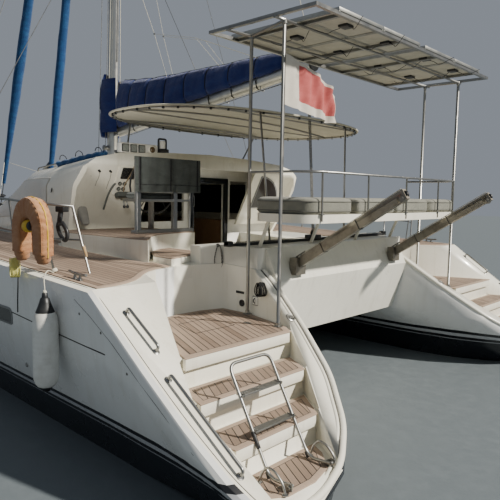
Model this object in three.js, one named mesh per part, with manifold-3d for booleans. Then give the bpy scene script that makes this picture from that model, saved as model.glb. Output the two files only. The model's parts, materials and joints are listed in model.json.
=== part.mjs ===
// Sailing catamaran, afloat. Millimetres, +X to the bow, +Y to port, +Z up.
// The origin is on the centreline, amidships, in the plane of the water.
import * as THREE from 'three';
import { mergeVertices } from 'three/addons/utils/BufferGeometryUtils.js';
import Module from 'manifold-3d';

const wasm = await Module();
wasm.setup();

// Driving dimensions
const LENGTH = 13500;
const BOW = LENGTH / 2;
const GAP = 0.3;                 // left between solids that touch
const CLEAR = 6;                 // left between solids that move past each other
const HULL_INNER = 1500;         // the hulls' inner topsides, from the centreline
const HULL_OUTER = 3800;
const DECK_AFT_X = -4800;
const DECK_AFT_Z = 1620;
const DECK_SLOPE = 0.04;         // the deck rises towards the bows
const GUNWALE = 60;              // radius of the deck's rounded edge
const UNDERSIDE = 780;           // the bridgedeck's underside above the water
const SOLE = 1080;               // cockpit and saloon floor
const BEAM_AFT = -4950;          // knuckle of the aft beam
const BEAM_FRONT = -4250;
const BEAM_TOP = 1860;
const FOREDECK_END = 3700;
const RISER = 260;
const STEP_ZERO = 318;           // the bottom platform above the water
const ROOF_SKIN = 60;
const MAST_X = 717;              // mast's centre at its foot
const MAST_RAKE = 0.033;
const MAST_TOP = 18600;
const MAST_LONG = 130;
const MAST_WIDE = 85;
const BOOM_START = 470;
const BOOM_END = -4230;
const BOOM_Z = 3560;             // underside at the mast
const BOOM_RISE = 0.13;
const FRAME_Z = 4200;            // solar frame
const SEAT_TOP = 2270;           // shelf of the raised aft seat
const BIMINI_Z = 3530;
const deckZ = (x) => DECK_AFT_Z + DECK_SLOPE * (x - DECK_AFT_X);
const mastX = (z) => MAST_X - MAST_RAKE * (z - 2930);
const radians = (degrees) => degrees * Math.PI / 180;

// Finishes
function finish(color, roughness, metalness) {
  return new THREE.MeshStandardMaterial({ color, roughness, metalness });
}
const GELCOAT = finish(0xe6e3d6, 0.35, 0);
const STEEL = finish(0xb9bcc0, 0.25, 1);
const ALUMINIUM = finish(0x9a9488, 0.45, 1);
const BLACK = finish(0x16171a, 0.5, 0);
const GLASS = finish(0x20262c, 0.08, 0);
const BLUE = finish(0x143278, 0.8, 0);
const TEAL = finish(0x145a8c, 0.8, 0);
const BEIGE = finish(0xbeb9a5, 0.85, 0);
const CUSHION = finish(0xa5a596, 0.75, 0);
const CANVAS = finish(0x3e4442, 0.85, 0);
const RED = finish(0xa04048, 0.85, 0);
const TAN = finish(0xc89669, 0.7, 0);
const WHITE = finish(0xecece6, 0.4, 0);
const PANEL = finish(0x1c2436, 0.25, 0);
const ANTIFOUL = finish(0x2a2e34, 0.8, 0);
const BRONZE = finish(0x9a7b4a, 0.4, 1);
const NET = finish(0xd8d8d0, 0.9, 0);

// Solids for joining and cutting
function solid(geometry) {
  const plain = geometry.index ? geometry.toNonIndexed() : geometry.clone();
  plain.deleteAttribute('normal');
  plain.deleteAttribute('uv');
  const merged = mergeVertices(plain, 1e-2);
  const vertProperties = new Float32Array(merged.attributes.position.array);
  const triVerts = new Uint32Array(merged.index.array);
  return new wasm.Manifold(new wasm.Mesh({ numProp: 3, vertProperties, triVerts }));
}

function surface(manifold) {
  const found = manifold.getMesh();
  const geometry = new THREE.BufferGeometry();
  geometry.setAttribute('position', new THREE.BufferAttribute(found.vertProperties, 3));
  geometry.setIndex(new THREE.BufferAttribute(found.triVerts, 1));
  return geometry;
}

const joined = (list) => list.reduce((all, next) => all.add(next));
const less = (body, list) => list.reduce((all, next) => all.subtract(next), body);

// What a body must be cut with to keep the small gap to another
function around(other) {
  const steps = [[1, 0, 0], [0, 1, 0], [0, 0, 1]].map((axis) => axis.map((value) => value * GAP));
  return [other, ...steps.flatMap((move) => [other.translate(move), other.translate(move.map((v) => -v))])];
}

// Basic shapes
function box(x0, x1, y0, y1, z0, z1) {
  const geometry = new THREE.BoxGeometry(x1 - x0, y1 - y0, z1 - z0);
  geometry.translate((x0 + x1) / 2, (y0 + y1) / 2, (z0 + z1) / 2);
  return solid(geometry);
}

const point = (x, y, z) => new THREE.Vector3(x, y, z);

function bar(from, to, radius, sides = 8) {
  const along = to.clone().sub(from);
  const geometry = new THREE.CylinderGeometry(radius, radius, along.length(), sides);
  const turn = new THREE.Quaternion().setFromUnitVectors(point(0, 1, 0), along.clone().normalize());
  geometry.applyQuaternion(turn);
  geometry.translate(...from.clone().add(to).multiplyScalar(0.5).toArray());
  return solid(geometry);
}

// A bent tube: straight lengths of a round section, mitred where they meet
function frame(points, radius, sides = 8, closed = false) {
  const count = points.length;
  const ways = points.map((p, i) => points[(i + 1) % count].clone().sub(p).normalize());
  const start = new THREE.Quaternion().setFromUnitVectors(point(0, 0, 1), ways[0]);
  const turn = start.clone();
  const rings = points.map((p, i) => {
    const last = !closed && i === count - 1;
    const before = i === 0 && !closed ? ways[0] : ways[(i + count - 1) % count];
    const after = last ? before : ways[i];
    if (i > 0) turn.premultiply(new THREE.Quaternion().setFromUnitVectors(ways[i - 1], after));
    const plane = before.clone().add(after).normalize();
    return ellipse(radius, radius, sides).map(([x, y]) => {
      const q = point(x, y, 0).applyQuaternion(turn);
      return q.addScaledVector(after, -q.dot(plane) / after.dot(plane)).add(p);
    });
  });
  return loft(rings, closed);
}

function outline(points) {
  const shape = new THREE.Shape();
  points.forEach(([a, b], i) => (i ? shape.lineTo(a, b) : shape.moveTo(a, b)));
  shape.closePath();
  return shape;
}

// A plan outline in X and Y, raised between two heights
function plan(points, z0, z1) {
  const geometry = new THREE.ExtrudeGeometry(outline(points), { depth: z1 - z0, bevelEnabled: false });
  geometry.translate(0, 0, z0);
  return solid(geometry);
}

// A side outline in X and Z, between two places across
function side(points, y0, y1) {
  const geometry = new THREE.ExtrudeGeometry(outline(points), { depth: y1 - y0, bevelEnabled: false });
  geometry.rotateX(Math.PI / 2);
  geometry.translate(0, y1, 0);
  return solid(geometry);
}

// An end outline in Y and Z, between two places along
function across(points, x0, x1) {
  const geometry = new THREE.ExtrudeGeometry(outline(points), { depth: x1 - x0, bevelEnabled: false });
  const turn = new THREE.Matrix4().makeBasis(point(0, 1, 0), point(0, 0, 1), point(1, 0, 0));
  geometry.applyMatrix4(turn);
  geometry.translate(x0, 0, 0);
  return solid(geometry);
}

// A skin through closed rings with equal counts, with a flat cap at each end
function loft(rings, closed = false) {
  const count = rings[0].length;
  const positions = rings.flat().flatMap((p) => [p.x, p.y, p.z]);
  const index = [];
  const spans = closed ? rings.length : rings.length - 1;
  for (let r = 0; r < spans; r += 1) {
    const next = ((r + 1) % rings.length) * count;
    for (let i = 0; i < count; i += 1) {
      const k = (i + 1) % count;
      index.push(r * count + i, r * count + k, next + i, r * count + k, next + k, next + i);
    }
  }
  for (const [ring, flip] of closed ? [] : [[0, true], [rings.length - 1, false]]) {
    const middle = positions.length / 3;
    const centre = rings[ring].reduce((sum, p) => sum.add(p), point(0, 0, 0));
    positions.push(...centre.multiplyScalar(1 / count).toArray());
    for (let i = 0; i < count; i += 1) {
      const a = ring * count + i;
      const b = ring * count + (i + 1) % count;
      index.push(...(flip ? [b, a, middle] : [a, b, middle]));
    }
  }
  const geometry = new THREE.BufferGeometry();
  geometry.setAttribute('position', new THREE.Float32BufferAttribute(positions, 3));
  geometry.setIndex(signedVolume(positions, index) < 0 ? reversed(index) : index);
  return solid(geometry);
}

function signedVolume(positions, index) {
  let sum = 0;
  for (let i = 0; i < index.length; i += 3) {
    const [a, b, c] = [0, 1, 2].map((k) => new THREE.Vector3().fromArray(positions, index[i + k] * 3));
    sum += a.dot(b.cross(c));
  }
  return sum;
}

function reversed(index) {
  const out = [];
  for (let i = 0; i < index.length; i += 3) out.push(index[i], index[i + 2], index[i + 1]);
  return out;
}

const mirrored = (body) => body.mirror([0, 1, 0]);

// Lays a flat thing, made at height 0, on the sloping deck
function onDeck(body, lift = GAP) {
  const geometry = surface(body);
  const place = geometry.attributes.position;
  for (let i = 0; i < place.count; i += 1) {
    place.setZ(i, place.getZ(i) + deckZ(place.getX(i)) + lift);
  }
  return solid(geometry);
}

// Hulls. Columns: x, inner edge, outer edge, top, inner waterline, outer waterline, keel line
const HULL_SECTIONS = [
  [-6750, 3050, 3480, 250, 3120, 3430, 60],
  [-6650, 2640, 3640, 319, 2780, 3520, 20],
  [-6400, 2240, 3720, 490, 2450, 3560, -40],
  [-6000, 1900, 3770, 764, 2200, 3560, -120],
  [-5500, 1690, 3790, 1106, 2020, 3540, -220],
  [-5000, 1540, 3795, 1448, 1960, 3520, -310],
  [-4748, HULL_INNER, HULL_OUTER, deckZ(-4748), 1950, 3510, -350],
  [-3700, HULL_INNER, HULL_OUTER, deckZ(-3700), 1940, 3500, -480],
  [-2200, HULL_INNER, HULL_OUTER, deckZ(-2200), 1940, 3490, -590],
  [0, HULL_INNER, HULL_OUTER, deckZ(0), 1950, 3480, -650],
  [2000, HULL_INNER, 3740, deckZ(2000), 2000, 3430, -640],
  [3701, HULL_INNER, 3600, deckZ(3701), 2150, 3330, -590],
  [4900, 1900, 3400, deckZ(4900), 2360, 3200, -500],
  [5800, 2240, 3200, deckZ(5800), 2540, 3060, -380],
  [6400, 2520, 3030, deckZ(6400), 2690, 2940, -230],
  [6680, 2690, 2920, deckZ(6680), 2780, 2850, -60],
  [BOW, 2770, 2860, deckZ(BOW), 2800, 2830, 120],
];

function hullRing([x, inner, outer, top, innerWater, outerWater, keel]) {
  const bilge = Math.min(250, keel + (top - keel) * 0.45);
  const middle = (innerWater + outerWater) / 2;
  const edge = Math.min(GUNWALE, (outer - inner) / 5);
  const low = Math.min(500, keel + (top - keel) * 0.6);
  const knuckle = Math.min(UNDERSIDE - 20, (top + low) / 2);
  const ring = [];
  ring.push([outer - edge, top], [outer - edge * 0.3, top - edge * 0.3], [outer, top - edge]);
  ring.push([outer - (outer - outerWater) * 0.12, (top + low) / 2]);
  ring.push([outer - (outer - outerWater) * 0.55, low], [outerWater, bilge]);
  for (const angle of [25, 50, 72, 90, 108, 130, 155]) {
    const half = angle < 90 ? outerWater - middle : middle - innerWater;
    const reach = Math.sign(Math.cos(radians(angle))) * Math.abs(Math.cos(radians(angle))) ** 0.85;
    ring.push([middle + half * reach, bilge - (bilge - keel) * Math.sin(radians(angle)) ** 0.9]);
  }
  ring.push([innerWater, bilge], [inner + (innerWater - inner) * 0.6, low], [inner, knuckle]);
  ring.push([inner, top - edge], [inner + edge * 0.3, top - edge * 0.3], [inner + edge, top]);
  return ring.map(([y, z]) => point(x, y, z));
}

// The scoop is cut in levels. Columns: height, then the plan outline that is open above it
const LANDING = STEP_ZERO + 3 * RISER;
const LANDING_OUTLINE = [
  [-5540, 3390], [-4330, 2880], [-4200, 2640], [-4140, 2340], [-4150, 1980], [-4230, 1660],
  [-4700, 1655], [-5420, 1850], [-5540, 1960],
];
const SCOOP_CUTS = [
  [STEP_ZERO, [[-6900, 3430], [-6190, 3500], [-6190, 2400], [-6300, 2450], [-6900, 2870]]],
  [STEP_ZERO + RISER, [[-6219, 3505], [-5840, 3540], [-5840, 2130], [-6219, 2400]]],
  [STEP_ZERO + 2 * RISER, [[-5871, 3540], [-5500, 3400], [-5500, 1930], [-5871, 2130]]],
  [LANDING, LANDING_OUTLINE],
];
const RUDDER_X = -5650;
const RUDDER_Y = 2790;
const STOCK = 35;

function hull() {
  const body = loft(HULL_SECTIONS.map(hullRing)).add(keel());
  const cuts = SCOOP_CUTS.map(([z, points]) => plan(points, z, 3000));
  cuts.push(bar(point(RUDDER_X, RUDDER_Y, -600), point(RUDDER_X, RUDDER_Y, 60), STOCK + 1.5, 24));
  return less(body, cuts);
}

function keel() {
  const foil = (x0, x1, half) => {
    const rows = [[0, 0], [0.12, 0.8], [0.35, 1], [0.7, 0.62], [1, 0.06]];
    const top = rows.map(([t, h]) => [x1 - (x1 - x0) * t, half * h]);
    return [...top, ...top.slice(1).reverse().map(([x, y]) => [x, -y])];
  };
  const ring = (z, x0, x1, half) => foil(x0, x1, half).map(([x, y]) => point(x, 2715 + y, z));
  return loft([ring(-1250, -900, 900, 90), ring(-900, -1150, 1250, 120), ring(-300, -1400, 1500, 150)]);
}

const portHull = hull();
const starboardHull = mirrored(portHull);

// Bridgedeck with the aft beam and one long well for the cockpit and the saloon
const WELL_Y = 1400;
function bridgedeck() {
  const half = HULL_INNER - GAP;
  const profile = [
    [-4750, UNDERSIDE], [BEAM_AFT, 1480], [-4780, BEAM_TOP - 20], [-4760, BEAM_TOP], [BEAM_FRONT, BEAM_TOP],
    [BEAM_FRONT, deckZ(BEAM_FRONT)], [FOREDECK_END, deckZ(FOREDECK_END)], [FOREDECK_END, 1350],
    [3100, 960], [2400, UNDERSIDE],
  ];
  const well = box(BEAM_FRONT, 2500, -WELL_Y, WELL_Y, SOLE, 3000);
  // The beam's raised top goes on over the hulls' decks, in front of the landings
  const wing = [
    [-4760, 1300], [-4760, 1640], [-4215, 1650], [-4136, 1950], [-3960, 1950], [-3960, WELL_Y + 10],
    [BEAM_FRONT - 1, WELL_Y + 10], [BEAM_FRONT - 1, 1300],
  ];
  const wings = plan(wing, 1400, BEAM_TOP).subtract(portHull.translate([0, 0, GAP])).subtract(portHull);
  return joined([side(profile, -half, half).subtract(well), wings, mirrored(wings)]);
}
const bridge = bridgedeck();

// Coachroof. Columns: x, half width of the roof's edge, its height, the crown, and the half widths of the
// side at the deck and at the shares below of the height from deck to edge
const ROOF_SHARES = [0.42, 0.66, 0.84, 0.94];
const ROOF_SECTIONS = [
  [-2200, 1740, 3030, 3110, [2240, 2350, 2385, 2300, 2110]],
  [-1000, 1700, 2920, 3030, [2250, 2330, 2330, 2220, 2040]],
  [500, 1600, 2845, 2930, [2200, 2110, 1990, 1840, 1730]],
  [1600, 1320, 2670, 2780, [2080, 1820, 1620, 1480, 1400]],
  [2250, 1150, 2400, 2500, [1900, 1560, 1380, 1270, 1220]],
  [3050, 1080, 2020, 2060, [1600, 1400, 1280, 1200, 1150]],
];

function roofLoft(inset, lift) {
  const rings = ROOF_SECTIONS.map(([x, top, edge, crown, [base, ...widths]], i) => {
    const last = i === ROOF_SECTIONS.length - 1;
    const at = x - (last ? inset : 0);
    const foot = deckZ(at);
    const e = Math.max(edge - inset * 1.2, foot + 20);
    const c = Math.max(crown - inset * 1.2, foot + 40);
    const ring = [[base - inset, foot + lift], [base - inset, foot + Math.max(lift, 0) + 5]];
    widths.forEach((width, k) => ring.push([width - inset, foot + (e - foot) * ROOF_SHARES[k]]));
    ring.push([top - inset, e], [(top - inset) * 0.52, e + (c - e) * 0.7], [0, c]);
    const other = ring.slice(0, -1).reverse().map(([y, z]) => [-y, z]);
    return [...ring, ...other].map(([y, z]) => point(at, y, z));
  });
  return loft(rings);
}

// Windows: name, low and high corners of the box that each is cut with
const FRONT_WINDOWS = [-1110, -370, 370, 1110].map((y) => [[1720, y - 330, 2130], [3000, y + 330, 2560]]);
const SIDE_WINDOWS = [[-1000, 100], [180, 1250]].map(([a, b]) => [[a, 1500, 2170], [b, 2450, 2590]]);

function windowBoxes(shrink) {
  const cut = ([a, b], flip) => {
    const [y0, y1] = flip ? [-b[1], -a[1]] : [a[1], b[1]];
    return box(a[0] + shrink, b[0] - shrink, y0 + shrink, y1 - shrink, a[2] + shrink, b[2] - shrink);
  };
  const list = FRONT_WINDOWS.map((w) => cut(w, false));
  for (const w of SIDE_WINDOWS) list.push(cut(w, false), cut(w, true));
  return list;
}

// The aft end leans: outlines in X and Z of what is cut away, and of the two walls beside the opening
const AFT_LEAN = [[-2600, 1000], [-1600, 1000], [-1600, 1740], [-2170, 2860], [-2190, 3300], [-2600, 3300]];
const AFT_WALL = [
  [-1690, 1920 + GAP], [-1640, 1920 + GAP], [-2118, 2860], [-2118, 3200], [-2200, 3200], [-2170, 2860],
];
const WALL_Y = 1100;
const roofOuter = roofLoft(0, GAP);
const roofInner = roofLoft(ROOF_SKIN, -200);
function coachroofShell() {
  const shell = roofOuter.subtract(roofInner.translate([-100, 0, 0]).add(roofInner));
  const fascia = across([[-1790, 2870], [1790, 2870], [1790, 3010], [0, 3090], [-1790, 3010]], -2190, -2110);
  const wall = side(AFT_WALL, WALL_Y, 2400).intersect(roofOuter);
  const whole = joined([shell, fascia.intersect(roofOuter), wall, mirrored(wall)]);
  return less(whole, [side(AFT_LEAN, -2600, 2600), ...windowBoxes(0)]);
}
const coachroof = coachroofShell();

// One band of glass lines the skin behind all the openings
function windowPanes() {
  const band = roofLoft(ROOF_SKIN + 2 * GAP, 1).subtract(roofLoft(ROOF_SKIN + 9, -300));
  return band.intersect(box(-1060, 2950, -2450, 2450, 2080, 2680));
}

// Saloon bulkhead, its door and what stands in the saloon and the cockpit
const BULKHEAD_X = -1500;
const DOOR_LOW = -1000;
const DOOR_HIGH = -150;
const DOOR_TOP = 2760;
const SILL = 12;
function bulkhead() {
  const slab = box(BULKHEAD_X, BULKHEAD_X + 50, -2400, 2400, 1000, 3300);
  const upper = roofLoft(ROOF_SKIN + 2 * GAP, 1).intersect(slab);
  const foot = deckZ(BULKHEAD_X) + 60;
  const lower = box(BULKHEAD_X, BULKHEAD_X + 50, -WELL_Y + 1, WELL_Y - 1, SOLE + GAP, foot);
  const hole = (y0, y1, z0) => box(BULKHEAD_X - 50, BULKHEAD_X + 100, y0, y1, z0, DOOR_TOP - 40);
  const doorway = hole(DOOR_LOW, DOOR_HIGH, SOLE + 40);
  const cuts = [doorway, hole(0, 1250, 2000), hole(-1600, DOOR_LOW - 120, 2000)];
  const sill = [BULKHEAD_X - 45, BULKHEAD_X + 1, DOOR_LOW - 60, DOOR_HIGH + 960];
  return less(upper.add(lower), cuts).add(box(...sill, SOLE + GAP, SOLE + SILL - GAP));
}

function saloonDoor() {
  const face = BULKHEAD_X - CLEAR;
  const slab = box(face - 30, face, DOOR_LOW - 40, DOOR_HIGH + 40, SOLE + SILL, DOOR_TOP);
  const light = box(face - 60, face + 30, DOOR_LOW + 60, DOOR_HIGH - 60, SOLE + 240, DOOR_TOP - 100);
  const at = (out, z) => point(face - out, DOOR_HIGH - 10, z);
  const [low, high] = [1900, 2140];
  const feet = [low, high].map((z) => bar(at(45, z), at(20, z), 10));
  return joined([slab.subtract(light), bar(at(45, low), at(45, high), 10), ...feet]);
}

function cockpitSeats() {
  const shape = [
    [BEAM_FRONT + 1, WELL_Y - 1], [BEAM_FRONT + 1, -WELL_Y + 1], [-1900, -WELL_Y + 1],
    [-1900, -880], [-3720, -880], [-3720, WELL_Y - 1],
  ];
  return plan(shape, SOLE + GAP, SOLE + 400);
}

// Table, seats and galley stand on one floor board
function saloonFittings() {
  const board = box(-1400, 2450, -WELL_Y + 1, WELL_Y - 1, SOLE + GAP, SOLE + 20);
  return joined([board, saloonTable(), settee(), galley()]);
}

function saloonTable() {
  const top = box(350, 1450, 150, 1250, SOLE + 700, SOLE + 740);
  const leg = bar(point(900, 700, SOLE + GAP), point(900, 700, SOLE + 710), 60, 12);
  return top.add(leg);
}

function settee() {
  const seat = box(-100, 2300, 1290, WELL_Y - 1, SOLE + GAP, SOLE + 430);
  const end = box(1850, 2300, -600, 1300, SOLE + GAP, SOLE + 430);
  return seat.add(end);
}

function galley() {
  return box(-1300, 1200, -WELL_Y + 1, -1100, SOLE + GAP, SOLE + 900);
}

// Helm station on the port side
const HELM_Z = 1920;
const HELM_PLAN = [
  [-1660, WALL_Y - 60], [-1660, 2350], [-2000, 2560], [-2900, 2520], [-3500, 2470], [-3760, 2420],
  [-3340, 2060], [-3130, 1800], [-3010, 1450], [-2990, WALL_Y - 60],
];
const STEP_PLAN = [[-4090, 2340], [-3750, 2330], [-2980, 1800], [-2980, 1500], [-3860, 1500], [-3955, 1960]];
const STEP_Z = 1725;
function helmPlatform() {
  const block = plan(HELM_PLAN, SOLE + GAP, HELM_Z);
  const tread = plan(STEP_PLAN, 1500, STEP_Z);
  return less(block.add(tread), [...around(portHull), ...around(bridge), ...around(coachroof)]);
}

const WHEEL = point(-2350, 1290, 2570);
const WHEEL_R = 400;
function helmConsole() {
  const head = box(-2250, -1900, WHEEL.y - 170, WHEEL.y + 170, 2380, 2750);
  const shaft = bar(point(-2325, WHEEL.y, WHEEL.z), point(-2200, WHEEL.y, WHEEL.z), 22, 16);
  const behindWall = [[-1400, 1900], [-1400, 3300], [-2165, 3300], [-2165, 2860], [-1650, 1900]];
  return less(head.add(shaft), [...around(coachroof), side(behindWall, 1000, 1600)]);
}

function steeringWheel() {
  const rim = new THREE.TorusGeometry(WHEEL_R, 15, 6, 28);
  rim.rotateY(Math.PI / 2);
  const pieces = [solid(rim)];
  for (let i = 0; i < 5; i += 1) {
    const angle = radians(90 + i * 72);
    const tip = point(0, Math.cos(angle) * WHEEL_R, Math.sin(angle) * WHEEL_R);
    pieces.push(bar(point(-12, 0, 0), tip, 8, 6));
  }
  const bore = bar(point(-2, 0, 0), point(40, 0, 0), 22.45, 16);
  pieces.push(bar(point(-32, 0, 0), point(32, 0, 0), 55, 16).subtract(bore));
  return joined(pieces).translate([WHEEL.x, WHEEL.y, WHEEL.z]);
}

const SEAT_BACK_X = -2900;
const PLINTH = 60;
function helmSeat() {
  const foot = HELM_Z + PLINTH - 5;
  const plinth = box(SEAT_BACK_X - 70, SEAT_BACK_X + 60, WALL_Y - 60, 2020, HELM_Z + GAP, HELM_Z + PLINTH);
  const posts = [1950, 1340].map((y) => box(SEAT_BACK_X - 32, SEAT_BACK_X + 32, y - 32, y + 32, foot, 2930));
  const thin = bar(point(SEAT_BACK_X, 1060, foot), point(SEAT_BACK_X, 1060, 2930), 14);
  const rail = box(SEAT_BACK_X - 20, SEAT_BACK_X + 20, 1060, 1970, 2470, 2510);
  const head = box(SEAT_BACK_X - 20, SEAT_BACK_X + 20, 1060, 1970, 2900, 2935);
  const seat = box(SEAT_BACK_X - 30, SEAT_BACK_X + 330, 1200, 1960, 2350, 2390);
  const under = (z) => point(SEAT_BACK_X + 210, 1580, z);
  const leg = bar(under(HELM_Z + GAP), under(2360), 40, 12);
  const cross = box(SEAT_BACK_X - 20, SEAT_BACK_X + 60, 1060, 1970, 2355, 2385);
  return joined([plinth, ...posts, thin, rail, head, seat, leg, cross]);
}

function helmCushion() {
  return box(SEAT_BACK_X + 40, SEAT_BACK_X + 325, 1210, 1950, 2390 + GAP, 2470);
}

function helmCanvas() {
  return box(SEAT_BACK_X - 60, SEAT_BACK_X - 32 - GAP, 910, 2030, 2480, 2940);
}

function instrumentPod() {
  const body = box(-2130, -2030, 1030, 1700, 3040, 3190);
  return less(body, around(coachroof));
}

// Raised seat across the stern, above the davits
const SEAT = { aft: -5600, front: -4740, half: 1790, round: 260 };
function roundedRect(x0, x1, y0, y1, radius, steps = 4) {
  const points = [];
  for (const [cx, cy, start] of [
    [x1 - radius, y1 - radius, 0], [x0 + radius, y1 - radius, 90],
    [x0 + radius, y0 + radius, 180], [x1 - radius, y0 + radius, 270]]) {
    for (let i = 0; i <= steps; i += 1) {
      const angle = radians(start + 90 * i / steps);
      points.push([cx + radius * Math.cos(angle), cy + radius * Math.sin(angle)]);
    }
  }
  return points;
}

const POLES = [[-4690, 1720], [-5330, 1930], [-4910, -1960], [-5410, -2010]];
const POLE_R = 20;
function aftSeat() {
  const { aft, front, half, round } = SEAT;
  const shelf = plan(roundedRect(aft, front, -half, half, round), SEAT_TOP - 90, SEAT_TOP);
  const inner = roundedRect(aft + 60, front - 60, -half + 60, half - 60, round - 60);
  const hollow = plan(inner, 0, SEAT_TOP - 25);
  const posts = [-1500, -520, 520, 1500].map((y) => bar(
    point(-4660, y, BEAM_TOP + GAP), point(-4830, y, SEAT_TOP - 20), 22, 10));
  const poles = POLES.map(([x, y]) => bar(point(x, y, 2000), point(x, y, 3000), POLE_R + GAP, 12));
  return less(joined([shelf.subtract(hollow), ...posts]), [...poles, bridge.translate([0, 0, GAP])]);
}

function aftCushion() {
  const { aft, front, half, round } = SEAT;
  const edge = roundedRect(aft + 15, front - 10, -half + 15, half - 15, round - 15);
  const pad = plan(edge, SEAT_TOP + GAP, SEAT_TOP + 170);
  const poles = POLES.map(([x, y]) => bar(point(x, y, 2000), point(x, y, 3000), POLE_R + 12, 12));
  return less(pad, poles);
}

function aftRail() {
  const z = SEAT_TOP + 440;
  const { aft, half } = SEAT;
  const corners = [
    point(-4760, half - 5, z), point(aft + 200, half - 5, z), point(aft + 5, half - 200, z),
    point(aft + 5, -half + 200, z), point(aft + 200, -half + 5, z), point(-4760, -half + 5, z),
  ];
  const pieces = [frame(corners, 13)];
  const feet = [[aft + 5, 1590], [aft + 5, 700], [aft + 5, -200], [aft + 5, -1100], [aft + 5, -1590]];
  feet.push([-4760, half - 5], [-4760, -half + 5]);
  for (const [x, y] of feet) pieces.push(bar(point(x - 6, y, SEAT_TOP - 70), point(x, y, z), 11));
  const seat = aftSeat();
  return less(joined(pieces), [seat.translate([0, 0, GAP]), seat.translate([-GAP, 0, 0]), aftCushion()]);
}

// Traveller on the aft beam
function traveller() {
  const z = BEAM_TOP + GAP;
  const track = box(-4420, -4370, -1780, 1780, z, z + 34);
  const car = box(-4460, -4330, 20, 220, z + 30, z + 78);
  const ends = [-1780, 1720].map((y) => box(-4440, -4350, y, y + 60, z, z + 60));
  return joined([track, car, ...ends]);
}

// Mast, boom and sails
function ellipse(long, wide, steps = 20) {
  const points = [];
  for (let i = 0; i < steps; i += 1) {
    const angle = 2 * Math.PI * i / steps;
    points.push([long * Math.cos(angle), wide * Math.sin(angle)]);
  }
  return points;
}

const HINGE_X = BOOM_START + 30;
const LUG = 24;                  // thickness of the gooseneck's two lugs
const LUG_LOW = 20;
const LUG_HIGH = 128;
const MAST_FOOT = 2950;
const SPREADERS = [[8400, 1250], [13300, 1050]];
const MAST_RINGS = [[MAST_FOOT, 1], [14500, 1], [MAST_TOP, 0.7]];
function mastTube(grow) {
  return loft(MAST_RINGS.map(([z, k]) => ellipse(MAST_LONG * k + grow, MAST_WIDE * k + grow).map(
    ([x, y]) => point(mastX(z) + x, y, z))));
}

function mast() {
  const pieces = [mastTube(0)];
  const step = plan(ellipse(190, 150, 20), MAST_FOOT - 110, MAST_FOOT + 10);
  pieces.push(step.translate([mastX(MAST_FOOT), 0, 0]));
  for (const [z, reach] of SPREADERS) {
    for (const s of [-1, 1]) {
      pieces.push(bar(point(mastX(z), 0, z), point(mastX(z) - 330, s * reach, z + 60), 24, 10));
    }
  }
  const lug = (z) => box(BOOM_START - 10, mastX(BOOM_Z) - 90, -40, 40, BOOM_Z + z, BOOM_Z + z + LUG);
  const lugs = [LUG_LOW, LUG_HIGH].map(lug);
  const onPin = (z) => point(HINGE_X, 0, BOOM_Z + z);
  const pin = bar(onPin(LUG_LOW + 2), onPin(LUG_HIGH + LUG - 2), 11, 16);
  const head = box(mastX(MAST_TOP) - 260, mastX(MAST_TOP) + 120, -45, 45, MAST_TOP - 30, MAST_TOP + 40);
  return less(joined([...pieces, ...lugs, pin, head]), [roofOuter.translate([0, 0, GAP])]);
}

const boomZ = (x) => BOOM_Z + BOOM_RISE * (BOOM_START - x);
function boom() {
  const ring = (x, k) => ellipse(75 * k, 105 * k, 16).map(([y, z]) => point(x, y, boomZ(x) + 95 + z));
  const spar = loft([ring(BOOM_START - 60, 1), ring(BOOM_END, 0.95)]);
  const [low, high] = [BOOM_Z + LUG_LOW + LUG + GAP, BOOM_Z + LUG_HIGH - GAP];
  const eye = box(BOOM_START - 90, HINGE_X + 25, -22, 22, low, high);
  const bore = bar(point(HINGE_X, 0, BOOM_Z), point(HINGE_X, 0, BOOM_Z + 300), 12.5, 16);
  return spar.add(eye).subtract(bore);
}

// Sail cover. Columns: x, half width, height above the boom
const COVER = [
  [400, 95, 560], [330, 150, 900], [0, 190, 820], [-900, 190, 640], [-2300, 160, 440], [-3700, 120, 270],
  [-4100, 70, 220],
];
function sailCover() {
  const rings = COVER.map(([x, half, height]) => {
    const z = boomZ(x) + 150;
    const rows = [[0.55, 0], [0.95, 0.12], [1, 0.35], [0.9, 0.65], [0.55, 0.9], [0, 1]];
    const ring = rows.map(([w, h]) => point(x, half * w, z + h * height));
    const other = rows.slice(0, -1).reverse().map(([w, h]) => point(x, -half * w, z + h * height));
    return [...ring, ...other];
  });
  return less(loft(rings), around(boom()));
}

// The cover's front wraps the mast. Columns: height, share of its full radius
const COVER_FRONT = [[3560, 1], [3760, 1.12], [4170, 1.2], [4660, 1], [4780, 0.85]];
const COVER_FRONT_R = 250;
function coverFront() {
  const angles = [-76, -57, -38, -19, 0, 19, 38, 57, 76].map(radians);
  const body = loft(COVER_FRONT.map(([z, k]) => angles.map((angle) => point(
    mastX(z) + COVER_FRONT_R * k * Math.cos(angle), COVER_FRONT_R * 0.82 * k * Math.sin(angle), z))));
  const inside = loft([3500, 4900].map((z) => ellipse(MAST_LONG - 5, 105).map(
    ([x, y]) => point(mastX(z) + x, y, z))));
  return less(body, [inside, mastTube(GAP)]);
}

// Standing rigging
const FORESTAY_FOOT = point(6050, 0, 2086);
const FORESTAY_HEAD = point(mastX(17000), 0, 17000);
const INNER_FOOT = point(3480, 0, 1948);
const INNER_HEAD = point(mastX(15900), 0, 15900);
const CHAINPLATE = point(-150, 3640, deckZ(-150));
const stayAt = (from, to, t) => from.clone().lerp(to, t);

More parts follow.
